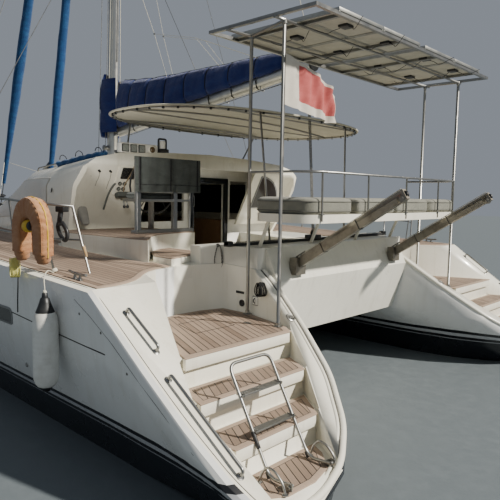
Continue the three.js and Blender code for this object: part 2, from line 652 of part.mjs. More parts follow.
function furled(from, to, start, end, radii) {
  const points = radii.map((_, i) => stayAt(from, to, start + (end - start) * i / (radii.length - 1)));
  const along = to.clone().sub(from).normalize();
  const turn = new THREE.Quaternion().setFromUnitVectors(point(0, 0, 1), along);
  const rings = points.map((p, i) => ellipse(radii[i], radii[i], 12).map(
    ([x, y]) => point(x, y, 0).applyQuaternion(turn).add(p)));
  const drum = new THREE.CylinderGeometry(95, 95, 110, 16);
  drum.rotateX(Math.PI / 2);
  drum.applyQuaternion(turn);
  drum.translate(...stayAt(from, to, start).addScaledVector(along, -85).toArray());
  const wire = bar(from, to, 9);
  return less(joined([loft(rings), solid(drum), wire]), [mastTube(GAP), ...around(beam), ...around(bridge)]);
}

const spar = mast();
const beam = crossbeam();
const innerStay = () => furled(INNER_FOOT, INNER_HEAD, 0.03, 0.93, [45, 95, 85, 75, 60, 30]);
const foreStay = () => furled(FORESTAY_FOOT, FORESTAY_HEAD, 0.04, 0.93, [50, 115, 100, 90, 70, 34]);

const PLATE_HALF = 16;
const PLATE_TOP = 70;
const WIRE_DEPTH = 12;
function shrouds() {
  const foot = point(CHAINPLATE.x, CHAINPLATE.y, CHAINPLATE.z + PLATE_TOP - WIRE_DEPTH);
  const tip = (i) => point(mastX(SPREADERS[i][0]) - 330, SPREADERS[i][1] + 18, SPREADERS[i][0] + 60);
  const pieces = [frame([foot, tip(0), tip(1), point(mastX(17100), 30, 17100)], 6, 6)];
  const low = point(CHAINPLATE.x + 130, CHAINPLATE.y - 4, foot.z);
  pieces.push(bar(low, point(mastX(8200), 40, 8200), 6, 6));
  for (const end of [foot, low]) {
    const wide = [end.x - 30, end.x + 30, end.y - PLATE_HALF, end.y + PLATE_HALF];
    pieces.push(box(...wide, deckZ(end.x - 30) + 4, end.z + WIRE_DEPTH));
  }
  pieces.push(onDeck(box(-200, 60, CHAINPLATE.y - 35, CHAINPLATE.y + 25, 0, 10)));
  return joined(pieces).subtract(mastTube(GAP));
}

// Forward crossbeam with its striker, and the nets
function crossbeam() {
  const x = 6050;
  const z = 2000;
  const tube = bar(point(x, -2560, z), point(x, 2560, z), 80, 20);
  const post = bar(point(x, 0, z - 30), point(x, 0, z - 430), 26, 12);
  const ties = [-1, 1].map((s) => bar(point(x, s * 2380, z - 60), point(x, 0, z - 420), 10));
  const plate = box(x - 60, x + 60, -12, 12, z, z + 90);
  const cut = [...around(portHull), ...around(starboardHull)];
  const pole = bar(point(FOREDECK_END - 10, 0, 1900), point(x, 0, z - 20), 55, 12);
  return less(joined([tube, post, ...ties, plate, pole]), [...cut, ...around(bridge)]);
}

function nets() {
  const shape = [[FOREDECK_END - 5, 10], [FOREDECK_END - 5, 1600], [4900, 2100], [6050, 2500], [6050, 10]];
  const net = onDeck(plan(shape, -75, -60), 0);
  return less(net, [...around(portHull), ...around(bridge), ...around(beam), ...around(mirrored(beam))]);
}

// Rails
function pulpit() {
  const at = (x, y, z) => point(x, y, deckZ(x) + z);
  const rail = frame([at(5750, 3180, 0), at(5780, 3190, 620), at(6500, 2960, 640), at(6560, 2790, 640),
    at(6200, 2560, 630), at(5900, 2420, 610), at(5880, 2440, 0)], 13);
  const leg = bar(at(6480, 2930, 0), at(6500, 2940, 630), 12);
  return rail.add(leg).subtract(portHull.translate([0, 0, GAP]));
}

const STANCHIONS = [[4700, 3390], [3200, 3600], [1700, 3710], [200, 3745], [-1200, 3745]];
function lifelines() {
  const pieces = STANCHIONS.map(([x, y]) => {
    const post = bar(point(x, y, deckZ(x) + 4), point(x, y, deckZ(x) + 640), 12, 6);
    const foot = onDeck(box(x - 32, x + 32, y - 32, y + 32, 0, 12));
    return post.add(foot);
  });
  for (const height of [320, 615]) {
    pieces.push(frame(STANCHIONS.map(([x, y]) => point(x, y, deckZ(x) + height)), 4, 5));
  }
  return joined(pieces);
}

const RAIL_OUT = 3790;
function sternRail() {
  const at = (x, y, z) => point(x, y, deckZ(x) + z);
  const top = frame([
    at(-4060, 3350, 4), at(-4010, 3500, 670), at(-3860, 3750, 690), at(-3650, RAIL_OUT, 690),
    at(-2750, RAIL_OUT, 700), at(-2520, 3730, 4)], 13);
  const middle = frame([
    at(-4035, 3425, 340), at(-3850, 3690, 350), at(-3600, 3750, 350), at(-2635, 3760, 350)], 10, 6);
  const legs = [[-3840, 3610, -3830, 3765], [-3290, 3730, -3260, RAIL_OUT]].map(
    ([x0, y0, x1, y1]) => bar(at(x0, y0, 4), at(x1, y1, 688), 12));
  const feet = [[-4060, 3350], [-3840, 3610], [-3290, 3730], [-2520, 3730]].map(
    ([x, y]) => onDeck(plan(ellipse(34, 34, 8).map(([a, b]) => [x + a, y + b]), 0, 10)));
  return less(joined([top, middle, ...legs, ...feet]), around(portHull));
}

// Solar gantry and panels
function gantry() {
  const pieces = [];
  for (const [x, y] of POLES) {
    pieces.push(bar(point(x, y, LANDING + 5), point(x, y, FRAME_Z - 5), POLE_R, 10));
    pieces.push(bar(point(x, y, LANDING + GAP), point(x, y, LANDING + 12), 40, 12));
  }
  const z = FRAME_Z - 20;
  const sides = [[POLES[0], POLES[1]], [POLES[2], POLES[3]]];
  for (const [a, b] of sides) pieces.push(bar(point(...a, z), point(...b, z), 16, 6));
  for (const [a, b] of [[POLES[0], POLES[2]], [POLES[1], POLES[3]]]) {
    const slope = (a[0] - b[0]) / (a[1] - b[1]);
    const at = (y) => point(a[0] + slope * (y - a[1]), y, z);
    pieces.push(bar(at(-2080), at(2080), 16, 6));
  }
  const frames = [2050, 1640, 450, -450, -1640, -2050].map(
    (y) => box(-5820, -4380, y - 20, y + 20, z + 5, z + 40 - GAP));
  for (const x of [-5800, -4400]) frames.push(box(x - 20, x + 20, -2070, 2070, z + 5, z + 40 - GAP));
  return less(joined([...pieces, ...frames]), [...around(portHull), ...around(starboardHull)]);
}

function solarPanel() {
  return box(-5830, -4370, 60, 1720, FRAME_Z + 20, FRAME_Z + 56);
}

function ensign() {
  const [x, y] = POLES[1];
  return box(x - 12, x + 12, y - 900, y - POLE_R - GAP, 3330, 3880);
}

// Bimini: an oval of superellipse form
const BIMINI = { x: -2950, long: 1310, wide: 2150, power: 2.5 };
const BIMINI_LEGS = [[-4250, BEAM_TOP - 10, 850, 960], [-1600, 2980, 1250, 1350]];
function oval(grow, z) {
  const along = (value) => Math.sign(value) * Math.abs(value) ** (2 / BIMINI.power);
  return ellipse(1, 1, 28).map(([x, y]) => point(
    BIMINI.x + (BIMINI.long + grow) * along(x), (BIMINI.wide + grow) * along(y), z));
}

const RING_IN = 45;
function ovalReach(offset, size, other) {
  const part = Math.abs(offset / (other - RING_IN)) ** BIMINI.power;
  return (size - RING_IN) * (1 - part) ** (1 / BIMINI.power);
}

function biminiCanvas() {
  const rings = [[0, -12], [0, 16], [-500, 80], [-1000, 110]].map(([grow, z]) => oval(grow, BIMINI_Z + z));
  const lower = [[30, -30], [0, -10.8], [-500, 66], [-1000, 95]];
  const under = lower.map(([grow, z]) => oval(grow - 18, BIMINI_Z + z));
  return loft(rings).subtract(loft(under));
}

function biminiFrame() {
  const z = BIMINI_Z - 20;
  const pieces = [frame(oval(-RING_IN, z), 13, 6, true)];
  for (const [x0, foot, y0, y1] of BIMINI_LEGS) {
    const reach = ovalReach(y1, BIMINI.long, BIMINI.wide);
    const top = BIMINI.x + Math.sign(x0 - BIMINI.x) * reach;
    for (const s of [-1, 1]) pieces.push(bar(point(x0, s * y0, foot), point(top, s * y1, z), 14));
  }
  for (const x of [-3950, -2950, -1950]) {
    const reach = ovalReach(x - BIMINI.x, BIMINI.wide, BIMINI.long);
    pieces.push(bar(point(x, -reach, z), point(x, reach, z), 11, 6));
  }
  return less(joined(pieces), [...around(coachroof), ...around(bridge)]);
}

// Davits
function davit(y) {
  const from = point(-4880, y, 1625);
  const to = point(-6290, y, 2500);
  const along = to.clone().sub(from);
  const geometry = new THREE.BoxGeometry(along.length(), 70, 110);
  geometry.rotateY(Math.PI + Math.atan2(along.z, -along.x));
  geometry.translate((from.x + to.x) / 2, y, (from.z + to.z) / 2);
  const plate = box(-4990, -4890, y - 90, y + 90, 1540, 1740);
  const sheave = bar(point(to.x + 40, y - 45, to.z - 60), point(to.x + 40, y + 45, to.z - 60), 40, 12);
  const whole = joined([solid(geometry), plate, sheave]);
  return less(whole, [bridge.translate([-GAP, 0, 0]), bridge]);
}

// Underwater gear
const PROP_X = -4080;
const PROP_Y = 2735;
const PROP_Z = -720;
function saildrive() {
  const ring = (z, x0, x1, half) => ellipse((x1 - x0) / 2, half, 12).map(
    ([x, y]) => point((x0 + x1) / 2 + x, PROP_Y + y, z));
  const rings = [ring(-790, -3980, -3640, 40), ring(-640, -3960, -3660, 45), ring(-300, -3940, -3600, 50)];
  const leg = loft(rings);
  const torpedo = bar(point(-4010, PROP_Y, PROP_Z), point(-3640, PROP_Y, PROP_Z), 62, 16);
  return leg.add(torpedo).subtract(portHull.translate([0, 0, -GAP]));
}

function propeller() {
  const hub = bar(point(-60, 0, 0), point(70 - GAP, 0, 0), 42, 16);
  const pieces = [hub];
  for (let i = 0; i < 3; i += 1) {
    const blade = new THREE.BoxGeometry(10, 120, 190);
    blade.translate(0, 0, 120);
    blade.rotateZ(radians(35));
    blade.rotateX(radians(120 * i));
    pieces.push(solid(blade));
  }
  return joined(pieces);
}

function rudder() {
  const ring = (z, x0, x1, half) => {
    const rows = [[0, 0], [0.2, 0.9], [0.4, 1], [0.75, 0.5], [1, 0.05]];
    const top = rows.map(([t, h]) => [x1 - (x1 - x0) * t, half * h]);
    return [...top, ...top.slice(1).reverse().map(([x, y]) => [x, -y])].map(
      ([x, y]) => point(RUDDER_X + x, RUDDER_Y + y, z));
  };
  const blade = loft([ring(-1050, -240, 110, 24), ring(-700, -310, 140, 32), ring(-290, -330, 150, 36)]);
  const stock = bar(point(RUDDER_X, RUDDER_Y, -400), point(RUDDER_X, RUDDER_Y, 60 - GAP), STOCK, 24);
  return blade.add(stock);
}

// Swim ladder, folded up over the steps. Its legs are cranked so that it hangs clear when lowered
const LADDER = { y: 3000, half: 240, hinge: [-6600, 372], crank: [-6385, 348], head: [-5930, 1120] };
function swimLadder() {
  const { y, half, hinge, crank, head } = LADDER;
  const at = ([x, z], s) => point(x, y + s * half, z);
  const path = [at(hinge, -1), at(crank, -1), at(head, -1), at(head, 1), at(crank, 1), at(hinge, 1)];
  const pin = [-1, 1].map((s) => point(hinge[0], y + s * (half + 44), hinge[1]));
  const pieces = [frame(path, 14), bar(...pin, 12, 16)];
  for (const t of [0.4, 0.72]) {
    const x = crank[0] + (head[0] - crank[0]) * t;
    const z = crank[1] + (head[1] - crank[1]) * t;
    pieces.push(box(x - 35, x + 35, y - half, y + half, z - 14, z + 14));
  }
  return joined(pieces);
}

function ladderBrackets() {
  const { y, half, hinge } = LADDER;
  const [x, z] = hinge;
  const pieces = [box(x + 35, x + 130, y - half - 60, y + half + 60, STEP_ZERO + GAP, STEP_ZERO + 8)];
  for (const s of [-1, 1]) {
    const ear = y + s * (half + 30);
    const foot = STEP_ZERO + 2;
    const shape = [[x - 26, z - 26], [x + 40, foot], [x + 125, foot], [x + 20, z + 26], [x - 26, z + 26]];
    pieces.push(side(shape, ear - 5, ear + 5));
  }
  const pin = bar(point(x, y - half - 90, z), point(x, y + half + 90, z), 12.4, 16);
  return less(joined(pieces), [pin, ...around(portHull)]);
}

// What hangs at the port quarter
const portRail = sternRail();
const BUOY = { x: -3920, half: 320, low: 1790, high: 2420, slot: 105, top: 2200 };
function horseshoeBuoy() {
  const arch = (half, low, high) => {
    const points = [[BUOY.x - half, low]];
    for (let i = 0; i <= 8; i += 1) {
      const angle = Math.PI * (1 - i / 8);
      points.push([BUOY.x + half * Math.cos(angle), high - half + half * Math.sin(angle)]);
    }
    return [...points, [BUOY.x + half, low]];
  };
  const whole = side(arch(BUOY.half, BUOY.low, BUOY.high), RAIL_OUT - 2, RAIL_OUT + 160);
  const slot = side(arch(BUOY.slot, BUOY.low - 50, BUOY.top), RAIL_OUT, RAIL_OUT + 200);
  return less(whole, [slot, ...around(portRail), ...around(portHull)]);
}

function fender() {
  const rows = [
    [0, 620], [70, 630], [105, 690], [115, 780], [115, 1230], [105, 1320], [70, 1380], [0, 1390],
  ];
  const profile = rows.map(([r, z]) => new THREE.Vector2(r, z));
  const body = new THREE.LatheGeometry(profile, 16);
  body.rotateX(Math.PI / 2);
  body.translate(-4190, 3888, 0);
  return less(solid(body), around(portHull));
}

const parts = [];
function add(name, body, material) {
  const mesh = new THREE.Mesh(surface(body), material);
  mesh.name = name;
  parts.push(mesh);
}

function addPair(name, body, material) {
  add(`${name}_port`, body, material);
  add(`${name}_starboard`, mirrored(body), material);
}

addPair('hull', portHull, GELCOAT);
add('bridgedeck', bridge, GELCOAT);
add('coachroof', coachroof, GELCOAT);
add('window_panes', windowPanes(), GLASS);
add('saloon_bulkhead', bulkhead(), WHITE);
add('saloon_door', saloonDoor(), WHITE);
add('saloon_fittings', saloonFittings(), CUSHION);
add('cockpit_seats', cockpitSeats(), GELCOAT);
add('helm_platform', helmPlatform(), GELCOAT);
add('helm_console', helmConsole(), GELCOAT);
add('steering_wheel', steeringWheel(), BLACK);
add('helm_seat', helmSeat(), STEEL);
add('helm_cushion', helmCushion(), CUSHION);
add('helm_canvas', helmCanvas(), CANVAS);
add('instrument_pod', instrumentPod(), BLACK);
add('aft_seat', aftSeat(), GELCOAT);
add('aft_cushion', aftCushion(), CUSHION);
add('aft_rail', aftRail(), STEEL);
add('traveller', traveller(), BLACK);
add('mast', spar, ALUMINIUM);
add('boom', boom(), ALUMINIUM);
add('sail_cover', sailCover(), BLUE);
add('sail_cover_front', coverFront(), BLUE);
add('inner_stay_sail', innerStay(), TEAL);
add('forestay_sail', foreStay(), TEAL);
addPair('shrouds', shrouds(), STEEL);
add('crossbeam', beam, ALUMINIUM);
addPair('trampoline', nets(), NET);
addPair('pulpit', pulpit(), STEEL);
addPair('lifelines', lifelines(), STEEL);
addPair('stern_rail', portRail, STEEL);
add('gantry', gantry(), STEEL);
addPair('solar_panel', solarPanel(), PANEL);
add('ensign', ensign(), RED);
add('bimini_frame', biminiFrame(), STEEL);
add('bimini_canvas', biminiCanvas(), BEIGE);
addPair('davit', davit(1130), ALUMINIUM);
addPair('saildrive', saildrive(), ALUMINIUM);
addPair('propeller', propeller().translate([PROP_X, PROP_Y, PROP_Z]), BRONZE);
addPair('rudder', rudder(), ANTIFOUL);
add('horseshoe_buoy', horseshoeBuoy(), TAN);
add('fender', fender(), WHITE);
add('swim_ladder', swimLadder(), STEEL);
add('ladder_brackets', ladderBrackets(), STEEL);

const catamaran = new THREE.Group();
catamaran.name = 'sailing_catamaran';
catamaran.add(...parts);
export default catamaran;
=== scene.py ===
# %% [markdown]
# A cruising catamaran, afloat and seen from over its port quarter. Its solids come from CAD as a fixed
# frame, in metres: the bow is at +X, port is at +Y and the water is at height 0. This script dresses
# them with finishes, and adds the teak, the fittings, the soft goods and the running rigging.

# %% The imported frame
import json
import math

import bpy
from mathutils import Matrix, Vector

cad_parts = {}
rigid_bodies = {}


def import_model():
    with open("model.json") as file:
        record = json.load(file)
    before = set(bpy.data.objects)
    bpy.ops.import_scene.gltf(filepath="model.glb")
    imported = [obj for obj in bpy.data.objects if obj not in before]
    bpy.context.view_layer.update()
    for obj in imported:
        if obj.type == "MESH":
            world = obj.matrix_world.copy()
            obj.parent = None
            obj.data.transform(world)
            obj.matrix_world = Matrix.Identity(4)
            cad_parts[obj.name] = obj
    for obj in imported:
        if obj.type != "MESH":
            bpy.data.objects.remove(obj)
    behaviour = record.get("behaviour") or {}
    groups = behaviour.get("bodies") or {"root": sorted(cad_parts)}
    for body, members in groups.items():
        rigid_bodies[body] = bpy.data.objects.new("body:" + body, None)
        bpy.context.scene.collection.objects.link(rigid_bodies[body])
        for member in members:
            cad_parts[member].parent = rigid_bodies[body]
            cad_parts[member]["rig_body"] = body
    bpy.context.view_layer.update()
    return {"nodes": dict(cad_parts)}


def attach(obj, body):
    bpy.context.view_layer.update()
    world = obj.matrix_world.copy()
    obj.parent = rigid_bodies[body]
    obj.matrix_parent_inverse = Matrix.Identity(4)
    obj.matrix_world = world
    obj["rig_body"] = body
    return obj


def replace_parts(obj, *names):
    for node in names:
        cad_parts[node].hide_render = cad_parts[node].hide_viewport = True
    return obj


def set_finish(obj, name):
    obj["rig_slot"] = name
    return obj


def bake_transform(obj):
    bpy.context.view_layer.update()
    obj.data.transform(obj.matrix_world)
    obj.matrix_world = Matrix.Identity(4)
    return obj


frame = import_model()
nodes = frame["nodes"]
SIDES = ((1, "port"), (-1, "starboard"))

# %% [markdown]
# The camera stands just above deck height off the port quarter and looks forward and inboard. Its place
# and its lens were worked out from the sizes of steps, treads and rails, so they are plain numbers here.
# A camera looks along its own -Z, so its matrix is made from the directions right, up and back.

# %% Camera
EYE = Vector((-8.98, 6.26, 2.452))
LENS, FILM = 39.994, 36.0
YAW, PITCH, ROLL = (math.radians(value) for value in (46.798, 5.562, 0.954))

ahead = Vector((math.cos(YAW) * math.cos(PITCH), -math.sin(YAW) * math.cos(PITCH), -math.sin(PITCH)))
level = Vector((-math.sin(YAW), -math.cos(YAW), 0))
upright = level.cross(ahead)
right = math.cos(ROLL) * level + math.sin(ROLL) * upright
top = math.cos(ROLL) * upright - math.sin(ROLL) * level
bpy.ops.object.camera_add(location=EYE)
camera = bpy.context.object
camera.matrix_world = Matrix.Translation(EYE) @ Matrix((right, top, -ahead)).transposed().to_4x4()
camera.data.lens = LENS
camera.data.sensor_width = FILM
camera.data.clip_end = 200
bpy.context.scene.camera = camera
print("camera looks along", [round(value, 3) for value in ahead])

# %% [markdown]
# A plain grey floor stands in for the water, at its level. A high sun from the starboard quarter lights
# the stern and leaves the port topside in shade, as on a real berth. A pale sky fills the shadows, and a
# small soft lamp lights the coachroof's aft wall as light off the deck would.

# %% Floor and light
FLOOR_SIZE = 160
SUN_POWER, FILL_POWER, SKY_POWER = 7.0, 14, 0.30
TOWARD_SUN = Vector((-0.70, -0.33, 0.63))
FILL_AT, FILL_AIM = Vector((-3.3, 2.6, 2.75)), Vector((-2.0, 1.7, 2.65))

bpy.ops.object.select_all(action="DESELECT")
bpy.ops.mesh.primitive_plane_add(size=FLOOR_SIZE, location=(0, 0, 0))
floor = bpy.context.object
floor.name = "floor"

bpy.ops.object.light_add(type="SUN")
sun = bpy.context.object
sun.data.energy = SUN_POWER
sun.data.angle = math.radians(2.5)
sun.data.color = (1.0, 0.95, 0.86)
sun.rotation_euler = TOWARD_SUN.to_track_quat("Z", "Y").to_euler()
bpy.ops.object.light_add(type="AREA", location=FILL_AT)
fill = bpy.context.object
fill.data.size = 0.3
fill.data.energy = FILL_POWER
fill.data.color = (1.0, 0.96, 0.88)
fill.rotation_euler = (FILL_AT - FILL_AIM).to_track_quat("Z", "Y").to_euler()
world = bpy.data.worlds.new("sky")
bpy.context.scene.world = world
world.use_nodes = True
background = world.node_tree.nodes["Background"]
background.inputs["Color"].default_value = (0.80, 0.88, 1.0, 1)
background.inputs["Strength"].default_value = SKY_POWER
print("sun stands", round(math.degrees(math.asin(TOWARD_SUN.normalized().z))), "degrees up")

# %% [markdown]
# Finishes are written as expressions. One small class wraps a socket, so that `1 - mask * 0.5` adds its
# own Math nodes, and one method adds any other node from its type, its settings and its sockets.


# %% Sockets and finishes
class Value:
    """A socket that Python's own operators can work on."""

    def __init__(self, paint, link):
        self.paint = paint
        self.link = link

    def math(self, operation, *values):
        return self.paint.add("ShaderNodeMath", {"operation": operation}, values)

    def __add__(self, other):
        return self.math("ADD", self, other)

    def __sub__(self, other):
        return self.math("SUBTRACT", self, other)

    def __rsub__(self, other):
        return self.math("SUBTRACT", other, self)

    def __mul__(self, other):
        return self.math("MULTIPLY", self, other)

    def __truediv__(self, other):
        return self.math("DIVIDE", self, other)

    def __gt__(self, other):
        return self.math("GREATER_THAN", self, other)

    def __lt__(self, other):
        return self.math("LESS_THAN", self, other)

    __radd__ = __add__
    __rmul__ = __mul__

    def part(self):
        return self.math("FRACT", self)

    def whole(self):
        return self.math("FLOOR", self)

    def size(self):
        return self.math("ABSOLUTE", self)


def shade(red, green, blue):
    """A colour from the eight bits of a picture, as the light that a shader works in."""
    values = [value / 255 for value in (red, green, blue)]
    return tuple(v / 12.92 if v <= 0.04045 else ((v + 0.055) / 1.055) ** 2.4 for v in values) + (1,)


class Paint:
    """One finish: a material whose sockets can be fed with colours and expressions."""

    def __init__(self, name, slot, **constants):
        self.material = bpy.data.materials.new(name)
        self.slot = slot
        self.material.use_nodes = True
        self.tree = self.material.node_tree
        self.shader = self.tree.nodes["Principled BSDF"]
        for socket, value in constants.items():
            self.shader.inputs[socket.replace("_", " ")].default_value = value

    def add(self, kind, settings=None, values=(), output=0):
        node = self.tree.nodes.new(kind)
        for key, value in (settings or {}).items():
            setattr(node, key, value)
        pairs = values.items() if isinstance(values, dict) else enumerate(values)
        for key, value in pairs:
            if isinstance(value, Value):
                self.tree.links.new(value.link, node.inputs[key])
            else:
                node.inputs[key].default_value = value
        return Value(self, node.outputs[output])

    def feed(self, socket, value):
        if isinstance(value, Value):
            self.tree.links.new(value.link, self.shader.inputs[socket])
        else:
            self.shader.inputs[socket].default_value = value

    def place(self, scale=(1, 1, 1), turn=0.0):
        """Object coordinates, turned about the upright and stretched."""
        where = self.add("ShaderNodeTexCoord", output="Object")
        turned = {"Vector": where, "Rotation": (0, 0, math.radians(turn))}
        where = self.add("ShaderNodeMapping", {"vector_type": "POINT"}, turned)
        return self.add("ShaderNodeVectorMath", {"operation": "MULTIPLY"}, [where, scale])

    def axis(self, where, name):
        return self.add("ShaderNodeSeparateXYZ", None, [where], output="XYZ".index(name))

    def noise(self, where, scale, detail=4.0, rough=0.55):
        values = {"Vector": where, "Scale": scale, "Detail": detail, "Roughness": rough}
        return self.add("ShaderNodeTexNoise", None, values)

    def mix(self, amount, first, second):
        settings = {"data_type": "RGBA"}
        return self.add("ShaderNodeMix", settings, {0: amount, 6: first, 7: second}, output=2)

    def ramp(self, value, low, high):
        """0 up to low, 1 from high, and a straight slope between."""
        values = {"Value": value, "From Min": low, "From Max": high}
        return self.add("ShaderNodeMapRange", {"clamp": True}, values)

    def relief(self, height, depth, strength=1.0):
        values = {"Height": height, "Distance": depth, "Strength": strength}
        self.feed("Normal", self.add("ShaderNodeBump", None, values))
        return self


# %% [markdown]
# Gelcoat is a glossy polyester skin. After some seasons it turns slightly cream, loses gloss in patches, and
# carries faint runs of grime that streak downwards. The topside below its rubbing line also has a boot
# stripe: black, pale and black again, above the dark bottom paint.


# %% Gelcoat
def gelcoat(name, colour, soiled, slot="gelcoat"):
    paint = Paint(name, slot, Coat_Roughness=0.12, Specular_IOR_Level=0.5)
    where = paint.place()
    broad = paint.noise(where, 1.3, 5)
    runs = paint.noise(paint.place((9, 9, 0.8)), 1.0, 6, 0.7)
    grime = paint.ramp(runs, 0.52, 0.78) * 0.45 + paint.ramp(broad, 0.45, 0.75) * 0.3
    paint.feed("Base Color", paint.mix(grime, colour, soiled))
    paint.feed("Roughness", paint.ramp(broad, 0.3, 0.7) * 0.15 + 0.24)
    paint.feed("Coat Weight", 0.35)
    paint.relief(paint.noise(where, 55, 2) + broad * 3, 0.0006, 0.35)
    return paint


CREAM = gelcoat("cream_gelcoat", shade(236, 233, 219), shade(203, 195, 172))
DECK = gelcoat("deck_gelcoat", shade(228, 226, 214), shade(186, 182, 165))

# %% Topside with its boot stripes
STRIPES = [(0.475, shade(24, 25, 28)), (0.425, shade(188, 190, 192)), (0.375, shade(20, 21, 24))]
STRIPES += [(0.330, shade(150, 152, 155)), (0.315, shade(26, 29, 34))]


def topside():
    paint = gelcoat("topside_gelcoat", shade(232, 232, 228), shade(200, 198, 188))
    where = paint.place()
    height = paint.axis(where, "Z")
    colour = paint.mix(paint.ramp(paint.noise(paint.place((5, 5, 0.7)), 1.4, 6), 0.5, 0.8) * 0.35,
                       shade(230, 231, 228), shade(196, 192, 178))
    for level, band in STRIPES:
        colour = paint.mix(height < level, colour, band)
    bottom = paint.ramp(height, 0.0, -0.05)
    slime = paint.mix(paint.noise(where, 14, 6), shade(34, 38, 42), shade(58, 62, 58))
    colour = paint.mix(bottom, colour, slime)
    paint.feed("Base Color", colour)
    paint.feed("Roughness", 0.22 + bottom * 0.5 + paint.ramp(paint.noise(where, 2), 0.35, 0.7) * 0.12)
    return paint


TOPSIDE = topside()
print("stripes at", [level for level, _ in STRIPES])

# %% [markdown]
# A laid teak deck is narrow planks with black caulking between them. Every plank has its own tone and a
# long fine grain, and the sun has bleached it. The caulking stands a hair low. The wider boards round
# an edge have no seams, so they are a second finish with the same wood.


# %% Teak
PLANK, SEAM = 0.066, 0.008


def wood(name, turn, planked=True, pale=0.0):
    paint = Paint(name, "gelcoat", Roughness=0.75, Specular_IOR_Level=0.3)
    where = paint.place(turn=turn)
    run = paint.axis(where, "Y") / PLANK
    number = run.whole()
    tone = paint.add("ShaderNodeTexWhiteNoise", {"noise_dimensions": "1D"}, {"W": number + 0.5})
    grain = paint.noise(paint.place((5, 170, 60), turn), 1.0, 5, 0.65)
    patch = paint.noise(where, 1.7, 4)
    dark, light = shade(112, 94, 80), shade(172, 152, 134)
    amount = grain * 0.55 + (tone * 0.4 if planked else 0.2) + patch * 0.35 + (pale - 0.22)
    colour = paint.mix(paint.ramp(amount, 0.1, 0.95), dark, light)
    height = grain * 0.25
    if planked:
        seam = ((run.part() - 0.5).size() > 0.5 - SEAM / PLANK / 2)
        colour = paint.mix(seam, colour, shade(38, 34, 31))
        height = height - seam
        paint.feed("Roughness", 0.78 - seam * 0.25)
    paint.feed("Base Color", colour)
    return paint.relief(height, 0.0015, 0.6)


MARGIN = wood("teak_margin", 12, planked=False, pale=0.32)
print("planks of", PLANK, "m with seams of", SEAM, "m")

# %% [markdown]
# Polished steel tube mirrors the deck and sky round it, and goes slightly brown where salt dries on it.
# Spars and the davits are aluminium, which dulls to grey and shows pale oxide.


# %% Metals
def metal(name, slot, colour, stain, rough, spread, amount=0.35):
    paint = Paint(name, slot, Metallic=1.0)
    where = paint.place()
    patch = paint.noise(where, 9, 6, 0.7)
    fine = paint.noise(where, 120, 3)
    paint.feed("Base Color", paint.mix(paint.ramp(patch, 0.48, 0.75) * amount, colour, stain))
    paint.feed("Roughness", paint.ramp(patch, 0.35, 0.75) * spread + fine * 0.06 + rough)
    return paint.relief(fine, 0.0003, 0.2)


STEEL = metal("polished_steel", "stainless", shade(150, 150, 147), shade(118, 106, 88), 0.28, 0.20)
ALLOY = metal("oxidised_alloy", "spar", shade(142, 137, 126), shade(98, 88, 74), 0.36, 0.22, 0.7)
SPAR = metal("spar_alloy", "spar", shade(205, 204, 198), shade(160, 155, 145), 0.3, 0.15)
BRONZE = metal("bronze", "bronze", shade(176, 140, 84), shade(86, 100, 78), 0.3, 0.3, 0.7)


# %% Moulded plastic, glass and paint
def moulded(name, slot, colour, worn, rough, grain=90.0, depth=0.0005):
    paint = Paint(name, slot)
    where = paint.place()
    patch = paint.noise(where, 6, 6, 0.65)
    fine = paint.noise(where, grain, 3)
    paint.feed("Base Color", paint.mix(paint.ramp(patch, 0.45, 0.8) * 0.6, colour, worn))
    paint.feed("Roughness", paint.ramp(patch, 0.3, 0.8) * 0.2 + rough)
    return paint.relief(fine + patch, depth, 0.5)


BLACK = moulded("black_plastic", "black_plastic", shade(26, 27, 29), shade(58, 58, 58), 0.38)
WHITE = moulded("white_plastic", "gelcoat", shade(232, 231, 224), shade(205, 200, 184), 0.35)
VINYL = moulded("fender_vinyl", "fender_vinyl", shade(226, 226, 220), shade(176, 172, 160), 0.42)
BOTTOM = moulded("bottom_paint", "antifouling", shade(38, 42, 46), shade(70, 72, 64), 0.75, 30, 0.002)
GLASS = moulded("tinted_glass", "window", shade(20, 24, 28), shade(34, 38, 42), 0.04, 4, 0.0001)
INSIDE = moulded("interior_wood", "interior", shade(120, 92, 66), shade(150, 120, 90), 0.45, 40)


# %% [markdown]
# Cloth shows three scales at once: its weave, the creases that it was folded with, and a lighter colour on
# what faces up, which is partly sun fading and partly painted light from above. The weave is two crossed
# rows of waves, the creases are noise, and the lighter top follows how far each face turns up.


# %% Cloth
def cloth(name, slot, colour, faded_and_lit, weave=0.0022, rough=0.85, sheen=0.2):
    paint = Paint(name, slot, Sheen_Weight=sheen, Roughness=rough, Specular_IOR_Level=0.25)
    where = paint.place()
    turns = 2 * math.pi / weave
    rows = [(paint.axis(where, letter) * turns) for letter in "XYZ"]
    waves = [row.math("SINE", row) for row in rows]
    thread = waves[0] * waves[1] + waves[1] * waves[2] + waves[0] * waves[2]
    crease = paint.noise(paint.place((3, 3, 7)), 1.6, 6, 0.62)
    up = paint.axis(paint.add("ShaderNodeNewGeometry", output="Normal"), "Z")
    # Creases fade the colour. Faces that look up get lighter too, partly from sun fading and partly as
    # painted top light.
    fold_fade_and_top_light = paint.ramp(crease, 0.42, 0.75) * 0.5 + paint.ramp(up, 0.2, 1.0) * 0.35
    paint.feed("Base Color", paint.mix(fold_fade_and_top_light, colour, faded_and_lit))
    return paint.relief(thread * 0.12 + crease * 2, 0.006, 0.55)


